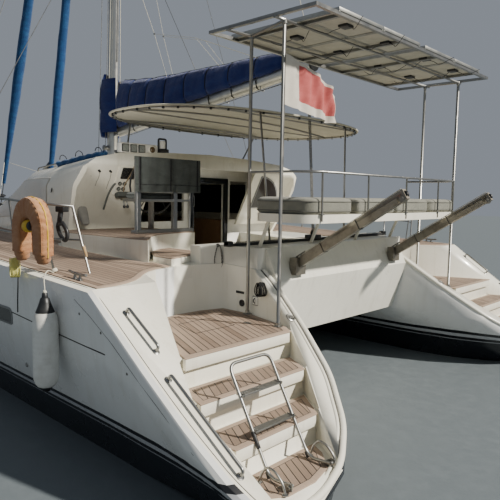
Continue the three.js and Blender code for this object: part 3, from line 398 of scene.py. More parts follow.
BLUE = cloth("blue_canvas", "blue_canvas", shade(10, 30, 92), shade(30, 58, 122))
TEAL = cloth("teal_canvas", "teal_canvas", shade(12, 60, 108), shade(40, 100, 148))
BEIGE = cloth("beige_canvas", "beige_canvas", shade(192, 187, 166), shade(214, 210, 192), 0.003)
DARK = cloth("dark_canvas", "dark_canvas", shade(58, 63, 60), shade(88, 94, 90))
CUSHION = cloth("cushion_cloth", "upholstery", shade(122, 122, 111), shade(148, 146, 134), 0.003)
BUOY = cloth("buoy_cover", "buoy_cover", shade(168, 116, 78), shade(204, 160, 118), 0.004)

# The floor is as dull as still water, so that it throws little light up on the topside.
WATER_LEVEL = moulded("floor", "gelcoat", shade(98, 106, 110), shade(110, 118, 122), 0.5, 20, 0.002)
floor.data.materials.append(WATER_LEVEL.material)
print("materials:", len(bpy.data.materials))

# %% [markdown]
# A CAD node is loose flat triangles. A skin is a copy with its doubles merged and its flat areas
# dissolved back to whole faces, so that it can take a small bevel and smooth shading. The skin then
# stands for the node, and the node stays as it was.


# %% Skins for the CAD nodes
def only(piece):
    if bpy.context.object and bpy.context.object.mode != "OBJECT":
        bpy.ops.object.mode_set(mode="OBJECT")
    bpy.ops.object.select_all(action="DESELECT")
    piece.select_set(True)
    bpy.context.view_layer.objects.active = piece


def finished(piece, name, paint, body="root", smooth=35.0):
    """The last step of every piece: its place goes into its mesh, and it gets its finish and its body."""
    only(piece)
    bpy.ops.object.transform_apply(location=True, rotation=True, scale=True)
    piece.name = name
    piece.data.materials.clear()
    piece.data.materials.append(paint.material)
    bpy.ops.object.shade_smooth_by_angle(angle=math.radians(smooth))
    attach(piece, body)
    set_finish(piece, paint.slot)
    return piece


def applied(piece, kind, **settings):
    """Gives the piece one modifier and applies it at once."""
    only(piece)
    modifier = piece.modifiers.new("step", kind)
    for key, value in settings.items():
        setattr(modifier, key, value)
    bpy.ops.object.modifier_apply(modifier=modifier.name)


def bevelled(piece, width, angle=30.0):
    applied(piece, "BEVEL", width=width, segments=2, limit_method="ANGLE", angle_limit=math.radians(angle),
            harden_normals=False)


MERGE, FLAT_ANGLE = 0.00002, 0.4


def merged_copy(node, name, dissolve):
    """A copy of a CAD node whose loose triangles are joined, and made whole faces where they are flat."""
    piece = bpy.data.objects.new(name, nodes[node].data.copy())
    bpy.context.scene.collection.objects.link(piece)
    only(piece)
    bpy.ops.object.mode_set(mode="EDIT")
    bpy.ops.mesh.select_all(action="SELECT")
    bpy.ops.mesh.remove_doubles(threshold=MERGE)
    if dissolve:
        bpy.ops.mesh.dissolve_limited(angle_limit=math.radians(FLAT_ANGLE))
    bpy.ops.object.mode_set(mode="OBJECT")
    return piece


def skin(node, paint, ease=0.0, smooth=35.0):
    piece = merged_copy(node, node + "_skin", dissolve=True)
    if ease:
        bevelled(piece, ease)
    finished(piece, node + "_skin", paint, nodes[node]["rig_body"], smooth)
    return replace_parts(piece, node)


PLAIN_SKINS = {
    "coachroof": (CREAM, 0.0, 40), "bridgedeck": (DECK, 0.0, 30), "helm_platform": (CREAM, 0.0, 30),
    "window_panes": (GLASS, 0.0, 30), "saloon_bulkhead": (WHITE, 0.0, 30),
    "saloon_door": (GLASS, 0.004, 30), "saloon_fittings": (INSIDE, 0.01, 30),
    "cockpit_seats": (DECK, 0.02, 30), "helm_console": (CREAM, 0.0, 30),
    "steering_wheel": (BLACK, 0.0, 60), "helm_seat": (STEEL, 0.004, 50),
    "instrument_pod": (WHITE, 0.022, 40), "aft_seat": (CREAM, 0.0, 50), "aft_rail": (STEEL, 0.0, 60),
    "traveller": (BLACK, 0.003, 40), "mast": (SPAR, 0.0, 60), "boom": (SPAR, 0.0, 60),
    "crossbeam": (SPAR, 0.0, 60), "gantry": (STEEL, 0.0, 60), "bimini_frame": (STEEL, 0.0, 60),
    "ladder_brackets": (STEEL, 0.0, 50),
}
for node, (paint, ease, smooth) in PLAIN_SKINS.items():
    skin(node, paint, ease, smooth)
for _, side in SIDES:
    for node, paint in (("shrouds", STEEL), ("pulpit", STEEL), ("lifelines", STEEL), ("stern_rail", STEEL),
                        ("davit", ALLOY), ("saildrive", ALLOY), ("propeller", BRONZE), ("rudder", BOTTOM)):
        skin(f"{node}_{side}", paint, 0.0, 50)

# %% [markdown]
# Each hull has two finishes. What faces away from the hull's own middle, and what lies low, is topside
# with its stripes. The rest, which is the deck and the inside of the stern scoop, is plain gelcoat.

# %% Hulls
HULL_MIDDLE = 2.65


def hull_skin(side, sign):
    piece = skin(f"hull_{side}", CREAM, 0.0, 32)
    piece.data.materials.append(TOPSIDE.material)
    for face in piece.data.polygons:
        away = face.normal.y * (face.center.y - sign * HULL_MIDDLE) > 0
        outer = away and abs(face.normal.z) < 0.85 and abs(face.normal.y) > 0.15
        if outer or face.center.z < 0.25 or face.normal.z < -0.2:
            face.material_index = 1
    return piece


hulls = {side: hull_skin(side, sign) for sign, side in SIDES}
print("hull faces:", len(hulls["port"].data.polygons))

# %% [markdown]
# The new pieces start as primitives and are shaped as by hand. Four starts cover most of a boat: a block
# with eased edges, a plate cut to an outline, a turned piece that grows ring by ring, and a bent tube.


# %% Blocks and plates
def block(name, low, high, paint, ease=0.006, body="root", lean=None):
    """A box between two corners with eased edges. lean gives a turn in degrees about X, Y and Z."""
    low, high = Vector(low), Vector(high)
    bpy.ops.object.select_all(action="DESELECT")
    bpy.ops.mesh.primitive_cube_add(size=1, location=(low + high) / 2)
    piece = bpy.context.object
    piece.scale = high - low
    bpy.ops.object.transform_apply(location=False, rotation=False, scale=True)
    if lean:
        piece.rotation_euler = [math.radians(value) for value in lean]
    bpy.ops.object.mode_set(mode="EDIT")
    bpy.ops.mesh.select_all(action="SELECT")
    bpy.ops.mesh.bevel(offset=ease, segments=2, affect="EDGES")
    bpy.ops.object.mode_set(mode="OBJECT")
    return finished(piece, name, paint, body)


def plate(name, outline, low, high, paint, ease=0.004, inlay=()):
    """An outline in X and Y raised from low to high. inlay lists bands set into its top, from the
    edge inwards, as (width, finish of what lies inside)."""
    bpy.ops.object.select_all(action="DESELECT")
    bpy.ops.mesh.primitive_circle_add(vertices=len(outline), radius=1, fill_type="NGON")
    piece = bpy.context.object
    area = sum(a[0] * b[1] - b[0] * a[1] for a, b in zip(outline, outline[1:] + outline[:1]))
    for vertex, (x, y) in zip(piece.data.vertices, outline if area > 0 else outline[::-1]):
        vertex.co = (x, y, low)
    bpy.ops.object.mode_set(mode="EDIT")
    bpy.ops.mesh.select_mode(type="FACE")
    bpy.ops.mesh.select_all(action="SELECT")
    bpy.ops.mesh.normals_make_consistent(inside=False)
    bpy.ops.mesh.extrude_region_move(TRANSFORM_OT_translate={"value": (0, 0, high - low)})
    for index, (width, _) in enumerate(inlay, 1):
        bpy.ops.mesh.inset(thickness=width)
        bpy.ops.object.mode_set(mode="OBJECT")
        for face in piece.data.polygons:
            if face.select:
                face.material_index = index
        bpy.ops.object.mode_set(mode="EDIT")
    bpy.ops.mesh.select_all(action="SELECT")
    bpy.ops.mesh.normals_make_consistent(inside=False)
    bpy.ops.object.mode_set(mode="OBJECT")
    bevelled(piece, ease, 50)
    marks = [face.material_index for face in piece.data.polygons]
    finished(piece, name, paint)
    for _, inside in inlay:
        piece.data.materials.append(inside.material)
    piece.data.polygons.foreach_set("material_index", marks)
    return piece


# %% Turned pieces and bent tubes
def even(*half):
    """A profile that is the same on both sides of 0, from the half that ends there."""
    return [(-out, radius) for out, radius in half] + [(out, radius) for out, radius in half[::-1] if out]


def turned(name, rings, paint, at=(0, 0, 0), along=(0, 0, 1), steps=20, body="root"):
    """rings are (distance along the axis, radius). The first and the last ring are closed."""
    bpy.ops.object.select_all(action="DESELECT")
    bpy.ops.mesh.primitive_circle_add(vertices=steps, radius=rings[0][1], fill_type="NGON")
    piece = bpy.context.object
    bpy.ops.object.mode_set(mode="EDIT")
    bpy.ops.mesh.select_all(action="SELECT")
    bpy.ops.transform.translate(value=(0, 0, rings[0][0]))
    for (low, before), (high, after) in zip(rings, rings[1:]):
        bpy.ops.mesh.extrude_region_move(TRANSFORM_OT_translate={"value": (0, 0, high - low)})
        share = after / before
        bpy.ops.transform.resize(value=(share, share, 1), center_override=(0, 0, high))
    bpy.ops.mesh.select_all(action="SELECT")
    bpy.ops.mesh.normals_make_consistent(inside=False)
    bpy.ops.object.mode_set(mode="OBJECT")
    piece.rotation_euler = Vector(along).to_track_quat("Z", "Y").to_euler()
    piece.location = at
    return finished(piece, name, paint, body, 40)


def eased_path(points, bend, steps=5):
    """Cuts each corner short by bend and puts an arc there."""
    points = [Vector(point) for point in points]
    path = [points[0]]
    for before, corner, after in zip(points, points[1:], points[2:]):
        reach = min(bend, (before - corner).length * 0.48, (after - corner).length * 0.48)
        start = corner + (before - corner).normalized() * reach
        end = corner + (after - corner).normalized() * reach
        for step in range(steps + 1):
            t = step / steps
            path.append((1 - t) ** 2 * start + 2 * t * (1 - t) * corner + t * t * end)
    return path + [points[-1]]


def tube(name, points, radius, paint, bend=0.0, body="root", closed=False, sides=12):
    path = eased_path(points, bend) if bend else [Vector(point) for point in points]
    bpy.ops.object.select_all(action="DESELECT")
    bpy.ops.curve.primitive_nurbs_path_add()
    piece = bpy.context.object
    piece.data.splines.clear()
    spline = piece.data.splines.new("POLY")
    spline.points.add(len(path) - 1)
    for spot, place in zip(spline.points, path):
        spot.co = (*place, 1)
    spline.use_cyclic_u = closed
    piece.data.bevel_depth = radius
    piece.data.bevel_resolution = (sides - 4) // 2
    piece.data.use_fill_caps = not closed
    bpy.ops.object.convert(target="MESH")
    return finished(bpy.context.object, name, paint, body, 50)


# %% Grids and copies
def grid(columns, rows):
    """A flat grid of unit size, whose vertices are then laid out by their two shares."""
    bpy.ops.object.select_all(action="DESELECT")
    bpy.ops.mesh.primitive_grid_add(x_subdivisions=columns, y_subdivisions=rows, size=1)
    return bpy.context.object


def remeshed(piece, voxel):
    only(piece)
    piece.data.remesh_voxel_size = voxel
    bpy.ops.object.voxel_remesh()


def copied(piece, name, matrix):
    """A copy with its own mesh. A mirroring matrix turns the faces round again."""
    other = piece.copy()
    other.data = piece.data.copy()
    bpy.context.scene.collection.objects.link(other)
    other.name = name
    other.data.transform(matrix)
    if matrix.determinant() < 0:
        other.data.flip_normals()
    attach(other, piece["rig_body"])
    return other


MIRROR = Matrix.Diagonal((1, -1, 1, 1))


def both_sides(piece):
    """Names the port piece as such and adds its twin to starboard."""
    base = piece.name
    piece.name = base + "_port"
    twin = copied(piece, base + "_starboard", MIRROR)
    return piece, twin


def joined(name, pieces):
    """One piece of several that share a finish and a body."""
    body, slot = pieces[0]["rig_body"], pieces[0]["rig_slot"]
    only(pieces[0])
    for piece in pieces[1:]:
        piece.select_set(True)
    bpy.ops.object.join()
    whole = bpy.context.object
    whole.name = name
    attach(whole, body)
    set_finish(whole, slot)
    return whole


FAR_OUT = 6.0


def outboard(x, z, lift=0.0, side="port"):
    """The point on a hull's outer topside at this x and z, lifted off it a little."""
    way = 1 if side == "port" else -1
    _, place, normal, _ = hulls[side].ray_cast((x, way * FAR_OUT, z), (0, -way, 0))
    return place + normal * lift


print("topside at x -4:", [round(value, 3) for value in outboard(-4.0, 1.15)])

# %% [markdown]
# The stern scoops are what one sees first. Each level carries a teak slab: planks in the middle, a
# wider margin board round them and black caulking between. The slab is one outline, raised, whose top
# is inset twice. A pale lip stands under each nosing, because the risers lean in below it.

# %% Teak on the scoops
# Black caulking for the teak's seams. The same dark also paints the shade in the styling grooves and inside
# the roof's side slit.
CAULK_AND_PAINTED_SHADE = moulded("caulking", "black_plastic", shade(34, 31, 29), shade(60, 55, 50), 0.6)
LANDING_WOOD = wood("teak_landing", 22.9)
STEP_WOOD = wood("teak_steps", 30)
LEVELS = {
    "landing": (1.098, LANDING_WOOD, 0.070, [(-5.550, 3.365), (-4.365, 2.865), (-4.232, 2.630),
                (-4.178, 2.335), (-4.188, 1.990), (-4.266, 1.695), (-4.70, 1.690), (-5.40, 1.880),
                (-5.550, 1.990)]),
    "step_high": (0.838, STEP_WOOD, 0.052, [(-5.893, 3.500), (-5.548, 3.370), (-5.548, 2.000),
                  (-5.893, 2.190)]),
    "step_low": (0.578, STEP_WOOD, 0.052, [(-6.241, 3.460), (-5.878, 3.500), (-5.878, 2.180),
                 (-6.241, 2.455)]),
    "platform": (0.318, STEP_WOOD, 0.050, [(-6.232, 3.420), (-6.232, 2.500), (-6.390, 2.580),
                 (-6.575, 2.760), (-6.635, 3.000), (-6.620, 3.300), (-6.540, 3.420)]),
}
SLAB, LIP, CAULK_WIDTH = 0.012, 0.10, 0.006


def teak(name, outline, low, high, margin, field, ease=0.003):
    """A slab with planks in its middle, a line of caulking round them and a margin board outside."""
    return plate(name, outline, low, high, MARGIN, ease, inlay=[(margin, CAULK_AND_PAINTED_SHADE), (CAULK_WIDTH, field)])


for name, (z, field, margin, outline) in LEVELS.items():
    both_sides(teak(f"teak_{name}", outline, z, z + SLAB, margin, field))
    if name != "platform":
        aft = min(x for x, _ in outline)
        ends = [y for x, y in outline if x == aft]
        lip = block(f"lip_{name}", (aft + 0.004, min(ends) + 0.01, z - LIP),
                    (aft + 0.05, max(ends) - 0.01, z), CREAM, 0.006)
        both_sides(lip)
print("teak levels:", sorted(LEVELS))

# %% [markdown]
# The side decks are teak too, forward of the scoops. A flat outline is made at height 0, and then
# sheared on to the deck, which rises by 4 cm in each metre.

# %% Teak on the side decks
DECK_PLANE = Matrix(((1, 0, 0, 0), (0, 1, 0, 0), (0.04, 0, 1, 1.812), (0, 0, 0, 1)))
SIDE_WOOD = wood("teak_side_deck", 0)
SIDE_DECK = [(-4.742, 3.690), (-4.722, 3.500), (-4.668, 3.320), (-4.588, 3.170), (-4.478, 3.035),
             (-4.350, 2.905), (-4.245, 2.770), (-4.172, 2.620), (-4.130, 2.490), (-4.118, 2.385),
             (-3.790, 2.365), (-3.750, 2.455), (-3.500, 2.500), (-2.900, 2.550), (-2.000, 2.590),
             (-1.640, 2.420), (-1.640, 2.300), (-1.000, 2.300), (0.500, 2.255), (1.600, 2.140),
             (2.300, 2.010), (3.300, 1.740), (3.300, 3.545), (2.000, 3.640), (0.000, 3.700)]
deck = teak("teak_side_deck", SIDE_DECK, 0.001, 0.011, 0.060, SIDE_WOOD)
deck.data.transform(DECK_PLANE)
both_sides(deck)

# %% Teak at the helm
HELM_WOOD = wood("teak_helm", 8)
HELM_EDGE = [(-1.760, 1.130), (-1.760, 2.320), (-2.010, 2.545), (-2.900, 2.505), (-3.500, 2.455),
             (-3.735, 2.405), (-3.325, 2.045), (-3.115, 1.790), (-2.998, 1.450), (-2.978, 1.050),
             (-2.200, 1.050)]
teak("teak_helm", HELM_EDGE, 1.920, 1.934, 0.070, HELM_WOOD, 0.004)
STEP_EDGE = [(-4.075, 2.325), (-3.760, 2.315), (-3.345, 2.080), (-3.140, 1.820), (-3.060, 1.560),
             (-3.860, 1.520), (-3.945, 1.960)]
teak("teak_helm_step", STEP_EDGE, 1.725, 1.737, 0.055, HELM_WOOD)
print("helm teak at 1.920 and 1.725 m")

# %% [markdown]
# Round each scoop runs a moulded rim: a fat bead on the inboard side with a thinner one beside it, which
# leaves a groove between them, and one fine groove down the outboard quarter. A thin grey tube in each of
# these grooves is painted shade. The rim follows the hull's own sections, so its points are theirs.

# %% Rims and grooves
INNER_RIM = [(-4.78, 1.555, 1.602), (-5.0, 1.580, 1.452), (-5.5, 1.730, 1.108), (-6.0, 1.942, 0.766),
             (-6.4, 2.284, 0.492), (-6.62, 2.640, 0.338), (-6.715, 3.000, 0.276), (-6.730, 3.250, 0.268),
             (-6.690, 3.470, 0.292)]
SECOND_RIM = [(x + 0.012, y + 0.062, z) for x, y, z in INNER_RIM[:5]]
SECOND_RIM += [(x + 0.052, y + 0.020, z - 0.004) for x, y, z in INNER_RIM[5:]]
QUARTER_SHADE_LINE = [(-2.6, 3.722, 1.709), (-4.3, 3.722, 1.641), (-4.745, 3.720, 1.622), (-5.0, 3.712, 1.449),
           (-5.5, 3.706, 1.107), (-6.0, 3.686, 0.765), (-6.4, 3.634, 0.491), (-6.62, 3.560, 0.341)]
# Painted shade: this grey stands for the shade in the rim's grooves, down the quarter and along the moulded
# lines. The topside plugs also take it as their own colour.
GROOVE_SHADE_AND_PLUG_GREY = moulded("seam_line", "black_plastic", shade(92, 90, 84), shade(120, 116, 106), 0.7)
both_sides(tube("rim_bead", INNER_RIM, 0.030, CREAM, 0.15, sides=14))
both_sides(tube("rim_second", SECOND_RIM, 0.019, CREAM, 0.15))
groove_shade_path = [(x + 0.005, y + 0.033, z + 0.006) for x, y, z in INNER_RIM[:6]]
both_sides(tube("rim_groove", groove_shade_path, 0.008, GROOVE_SHADE_AND_PLUG_GREY, 0.15))
both_sides(tube("quarter_line", QUARTER_SHADE_LINE, 0.0035, GROOVE_SHADE_AND_PLUG_GREY, 0.3))


def along_hull(name, stations, radius, paint, sink=0.4, side="port"):
    """A strip that follows the topside through (x, z) stations."""
    return tube(name, [outboard(x, z, -radius * sink, side) for x, z in stations], radius, paint)


# Painted shade: a dark tube lies along each styling groove where its shade falls.
GROOVE_SHADE_STATIONS = [(-3.10, 1.197), (-3.60, 1.170), (-4.20, 1.138), (-4.70, 1.116), (-5.00, 1.108)]
for _, side in SIDES:
    along_hull(f"styling_groove_{side}", GROOVE_SHADE_STATIONS, 0.007, CAULK_AND_PAINTED_SHADE, 0.5, side)

# %% [markdown]
# Each topside has three long windows with round corners and a grey frame. A window starts as a flat
# plate, turned upright, and its vertices are then laid on the hull's curve.

# %% Hull windows
FRAME_GREY = moulded("window_frame", "black_plastic", shade(120, 122, 122), shade(150, 150, 146), 0.4)


def round_rect(half_long, half_high, corner, steps=5):
    points = []
    for turn, (a, b) in enumerate(((1, 1), (-1, 1), (-1, -1), (1, -1))):
        for step in range(steps + 1):
            angle = math.pi / 2 * (turn + step / steps)
            points.append((a * (half_long - corner) + corner * math.cos(angle),
                           b * (half_high - corner) + corner * math.sin(angle)))
    return points


WINDOW_Z, WINDOW_LONG, WINDOW_HIGH, WINDOW_FRAME = 1.14, 0.37, 0.095, 0.022


def hull_window(name, x, side):
    shape = round_rect(WINDOW_LONG, WINDOW_HIGH, WINDOW_HIGH * 0.75)
    piece = plate(name, shape, -0.004, 0.004, FRAME_GREY, 0.002, inlay=[(WINDOW_FRAME, GLASS)])
    for vertex in piece.data.vertices:
        along, up, out = vertex.co
        vertex.co = outboard(x + along, WINDOW_Z + up, out + 0.004, side)
    if side == "port":
        piece.data.flip_normals()
    return piece


for _, side in SIDES:
    for number, x in enumerate((-2.85, -0.6, 1.6)):
        hull_window(f"hull_window_{side}_{number}", x, side)
print("hull windows: 6")

# %% [markdown]
# Grab rails stand on the quarter beside the steps. Each is one tube with its ends turned down into a
# round flange, and each end is where the solid's surface is.

# %% Grab rails
RAILS = {"high": [(-5.014, 3.572, 1.438), (-5.402, 3.548, 1.173)],
         "low": [(-5.639, 3.612, 1.011), (-6.400, 3.575, 0.491)]}
RAIL_RADIUS, RAIL_HEIGHT = 0.0135, 0.062
RAIL_OUT = Vector((-0.55, 0, 0.835))
RAIL_FOOT = [(-0.004, 0.032), (0.004, 0.032), (0.008, 0.024), (0.014, 0.017)]
for name, (upper, lower) in RAILS.items():
    upper, lower = Vector(upper), Vector(lower)
    lift = RAIL_OUT * RAIL_HEIGHT
    route = [upper, upper + lift, lower + lift, lower]
    rail = tube(f"grab_rail_{name}", route, RAIL_RADIUS, STEEL, 0.06, sides=16)
    feet = [turned("foot", RAIL_FOOT, STEEL, end, RAIL_OUT) for end in (upper, lower)]
    both_sides(joined(f"grab_rail_{name}", [rail, *feet]))

# %% Caps, latch and shower by the landing
CAP = [(0, 0.052), (0.006, 0.052), (0.009, 0.046), (0.007, 0.040), (0.007, 0.016), (0.011, 0.012)]
SOCKET = [(0, 0.040), (0.010, 0.040), (0.014, 0.034), (0.012, 0.024), (0.004, 0.018)]
RIM_UP, WALL_FACE = (-0.56, 0.0, 0.83), 1.6566
both_sides(turned("filler_cap", CAP, STEEL, (-5.385, 1.800, 1.193), RIM_UP, 28))
both_sides(turned("black_socket", SOCKET, BLACK, (-4.544, WALL_FACE, 1.207), (0, 1, 0), 24))
block("shower_box", (-4.835, 1.672, 1.215), (-4.735, 1.690, 1.325), STEEL, 0.008)
block("shower_door", (-4.822, 1.688, 1.228), (-4.748, 1.698, 1.312), WHITE, 0.006)
tube("shower_handle", [(-4.785, 1.70, 1.245), (-4.785, 1.722, 1.262), (-4.785, 1.722, 1.288),
                       (-4.785, 1.70, 1.300)], 0.006, BLACK, 0.008)
# Painted shade: a thin black block stands for the shade inside the locker's slot.
block("locker_slot", (-4.575, 1.655, 1.315), (-4.445, 1.663, 1.345), BLACK, 0.004)
both_sides(plate("teak_latch", [(-5.045, 2.010), (-4.955, 2.010), (-4.955, 2.075), (-5.045, 2.075)],
                 1.1095, 1.1115, STEEL, 0.0008))
print("rails and fittings by the landing are in place")

# %% [markdown]
# The swim ladder is one bent tube with two slatted treads. It stands folded up over the steps and turns
# on a pin at the transom, so all of it rides on its own body. A tube's corners are real bends here: each
# corner of the path is cut short and an arc is put there.

# %% Swim ladder
LADDER_Y, LADDER_HALF = 3.0, 0.24
HINGE, CRANK, HEAD = (-6.600, 0.372), (-6.385, 0.348), (-5.930, 1.120)
LADDER_TUBE = 0.014


def on_leg(share, y):
    """A point on a leg between its crank and its head."""
    return Vector((CRANK[0] + (HEAD[0] - CRANK[0]) * share, y, CRANK[1] + (HEAD[1] - CRANK[1]) * share))


route = []
for side in (-1, 1):
    y = LADDER_Y + side * LADDER_HALF
    leg = [(x, y, z) for x, z in (HINGE, CRANK, HEAD)]
    route += leg if side < 0 else leg[::-1]
ladder = tube("ladder_frame", route, LADDER_TUBE, STEEL, 0.085, "swim_ladder", sides=16)
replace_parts(ladder, "swim_ladder")
TREADS = (0.40, 0.72)
slats = []
for share in TREADS:
    middle = on_leg(share, LADDER_Y)
    for number in range(5):
        x = middle.x + (number - 2) * 0.0155
        slats.append(block("slat", (x - 0.0045, LADDER_Y - LADDER_HALF, middle.z - 0.008),
                           (x + 0.0045, LADDER_Y + LADDER_HALF, middle.z + 0.008), STEEL, 0.0015,
                           "swim_ladder"))
    for end in (-1, 1):
        y = LADDER_Y + end * (LADDER_HALF - 0.018)
        slats.append(block("slat", (middle.x - 0.040, y - 0.003, middle.z - 0.014),
                           (middle.x + 0.040, y + 0.003, middle.z + 0.014), STEEL, 0.001, "swim_ladder"))
joined("ladder_treads", slats)
for number, side in enumerate((-1, 1)):
    y = LADDER_Y + side * LADDER_HALF
    turned(f"ladder_pin_{number}", [(-0.002, 0.0145), (0.040, 0.0145), (0.044, 0.009)], STEEL,
           (HINGE[0], y, HINGE[1]), (0, side, 0), 18, "swim_ladder")
    low, high = on_leg(0.0, y), on_leg(0.065, y)
    turned(f"ladder_foot_{number}", [(0, 0.0185), (0.012, 0.0195), (0.050, 0.0165)], BLACK, low,
           high - low, 18, "swim_ladder")
low, high = on_leg(0.25, LADDER_Y + LADDER_HALF), on_leg(0.45, LADDER_Y + LADDER_HALF)
TAPE_ROLL = [(0, 0.0155), (0.004, 0.0172), (0.045, 0.0176), (0.09, 0.0170), (0.128, 0.0174), (0.133, 0.0152)]
turned("ladder_tape", TAPE_ROLL, BLACK, low, high - low, 18, "swim_ladder")

# %% [markdown]
# Beside each leg a low hoop is fixed to the platform. It guards the hinge, and a foot rests against it.

# %% Hoops by the hinge
HOOP = [(-6.345, 0.334), (-6.380, 0.430), (-6.425, 0.478), (-6.500, 0.470), (-6.575, 0.405), (-6.600, 0.336)]
HOOP_FOOT = [(0, 0.024), (0.005, 0.024), (0.010, 0.013)]
for number, side in enumerate((-1, 1)):
    y = LADDER_Y + side * (LADDER_HALF + 0.075)
    hoop = tube(f"ladder_hoop_{number}", [(x, y, z) for x, z in HOOP], 0.010, STEEL, 0.05, sides=14)
    feet = [turned("foot", HOOP_FOOT, STEEL, (x, y, z - 0.006)) for x, z in (HOOP[0], HOOP[-1])]
    joined(f"ladder_hoop_{number}", [hoop, *feet])
print("ladder treads at", [round(on_leg(share, 0).z, 3) for share in TREADS])

# %% [markdown]
# Ropes are tubes that follow smooth curves. A rope's centreline passes through a few given points, and a
# Catmull-Rom curve fills in the rest. Its laid strands are a diagonal wave in its finish.


# %% Ropes
def rope_finish(name, colour, fleck, pitch=0.016):
    paint = Paint(name, "dark_canvas", Roughness=0.88, Specular_IOR_Level=0.2)
    where = paint.place()
    total = paint.axis(where, "X") + paint.axis(where, "Y") + paint.axis(where, "Z") * 1.3
    phase = total * (2 * math.pi / pitch)
    strand = phase.math("SINE", phase)
    spots = paint.noise(where, 160, 3)
    paint.feed("Base Color", paint.mix(paint.ramp(spots + strand * 0.15, 0.50, 0.66), colour, fleck))
    return paint.relief(strand * 0.5 + spots * 0.4, 0.0025, 0.7)


YELLOW_ROPE = rope_finish("yellow_line", shade(206, 200, 110), shade(236, 232, 168))
BLACK_ROPE = rope_finish("black_line", shade(24, 24, 26), shade(62, 62, 62))
FLECKED_ROPE = rope_finish("flecked_line", shade(40, 40, 42), shade(196, 194, 184), 0.024)
PALE_ROPE = rope_finish("pale_line", shade(200, 196, 180), shade(226, 222, 206))
GREY_ROPE = rope_finish("grey_line", shade(120, 118, 110), shade(160, 156, 146))


def smoothed(points, steps=8):
    """A Catmull-Rom curve through the points."""
    spots = [Vector(point) for point in points]
    spots = [2 * spots[0] - spots[1], *spots, 2 * spots[-1] - spots[-2]]
    path = []
    for a, b, c, d in zip(spots, spots[1:], spots[2:], spots[3:]):
        for step in range(steps):
            t = step / steps
            path.append(0.5 * (2 * b + (c - a) * t + (2 * a - 5 * b + 4 * c - d) * t * t
                               + (3 * b - a - 3 * c + d) * t ** 3))
    return path + [spots[-2]]


def line(name, points, thick, paint, body="root", steps=8, sides=8):
    """A rope that is held at both ends."""
    path = smoothed(points, steps) if steps else [Vector(point) for point in points]
    return tube(name, path, thick / 2, paint, body=body, sides=sides)


def loose_line(name, path, thick, paint):
    """A free rope along its path."""
    piece = tube(name, path, thick / 2, paint, sides=8)


print("ropes defined")

# %% [markdown]
# A coiled line hangs from its own tie. One turn is a rounded loop, taller than wide, and each next turn
# lies a diameter further along, so that the rope never passes through itself.


# %% Hanging coils
def hanging_coil(name, top, across, tall, turns, thick, paint, face=0.0, hook=None):
    """Turns of rope below a tie at top, which may hang from a hook above it. face is the angle in
    degrees that the coil's flat side looks to."""
    top = Vector(top)
    angle = math.radians(face)
    out = Vector((math.cos(angle), math.sin(angle), 0))
    along = Vector((-math.sin(angle), math.cos(angle), 0))
    steps, pitch = 20, thick * 1.12
    path = [Vector(hook).lerp(top, share / 4) for share in range(4)] if hook else []
    for step in range(turns * steps + 1):
        turn = 2 * math.pi * step / steps
        wander = 1 + 0.10 * math.sin(turn * 0.37 + across * 90)
        low = (1 - math.cos(turn)) / 2
        sideways = across / 2 * wander * math.sin(turn) * (0.45 + 0.55 * low) * 1.2
        below = Vector((0, 0, tall * low * (1.03 - 0.03 * wander)))
        path.append(top + along * sideways + out * (pitch * step / steps) - below)
    middle = top + out * (pitch * turns / 2)
    knot = even((0.022, thick * 0.9), (0.018, thick * 1.5), (0, thick * 1.6))
    tie = turned(f"{name}_tie", knot, paint, middle + Vector((0, 0, -thick * 1.2)), (0, 0, 1), 14)
    loose_line(name, path, thick, paint)


hanging_coil("yellow_coil", (-3.580, 3.842, 1.800), 0.160, 0.185, 7, 0.011, YELLOW_ROPE, 72,
             (-3.540, 3.772, 2.028))
hanging_coil("rim_coil", (-4.935, 1.722, 1.500), 0.140, 0.150, 6, 0.012, BLACK_ROPE, 72)
hanging_coil("coaming_coil", (-4.150, 1.700, 1.872), 0.110, 0.290, 5, 0.012, FLECKED_ROPE, 160)

# %% [markdown]
# The fender is blown vinyl: a white barrel with thick black ends, faint ribs from its mould, and an eye
# for the line that it hangs from.

# %% Fender
FENDER = (-4.190, 3.888)
barrel = [(0.660, 0.055), (0.672, 0.080), (0.700, 0.100), (0.740, 0.112), (0.790, 0.1155)]
barrel += [(0.79 + 0.05 * step + shift, 0.1155 - dent) for step in range(1, 9)
           for shift, dent in ((-0.006, 0), (0, 0.0016), (0.006, 0))]
barrel += [(1.245, 0.1155), (1.300, 0.110), (1.340, 0.098), (1.365, 0.080)]
fender = turned("fender_barrel", barrel, VINYL, (*FENDER, 0), (0, 0, 1), 32)
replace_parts(fender, "fender")
turned("fender_top", [(1.350, 0.082), (1.366, 0.084), (1.400, 0.070), (1.450, 0.052), (1.490, 0.040),
                      (1.500, 0.028), (1.535, 0.024), (1.545, 0.014)], BLACK, (*FENDER, 0), (0, 0, 1), 28)
turned("fender_base", [(0.612, 0.018), (0.620, 0.034), (0.640, 0.040), (0.655, 0.056), (0.668, 0.062)],
       BLACK, (*FENDER, 0), (0, 0, 1), 28)
lanyard = smoothed([(-3.905, 3.655, 1.672), (-3.975, 3.730, 1.706), (-4.050, 3.800, 1.708),
                    (-4.130, 3.862, 1.655), (-4.180, 3.884, 1.590), (-4.190, 3.888, 1.540)], 6)
KNOT = [(-0.020, 0.020), (-0.012, 0.031), (0, 0.033), (0.012, 0.031), (0.020, 0.022)]
turned("fender_knot", KNOT, PALE_ROPE, (-3.872, 3.628, 1.690), (0.3, 0.3, 1), 14)
BEND = even((0.018, 0.010), (0.012, 0.016), (0, 0.018))
bend = turned("fender_bend", BEND, PALE_ROPE, (*FENDER, 1.545), (0, 0.3, 1), 12)
loose_line("fender_lanyard", lanyard, 0.010, PALE_ROPE)
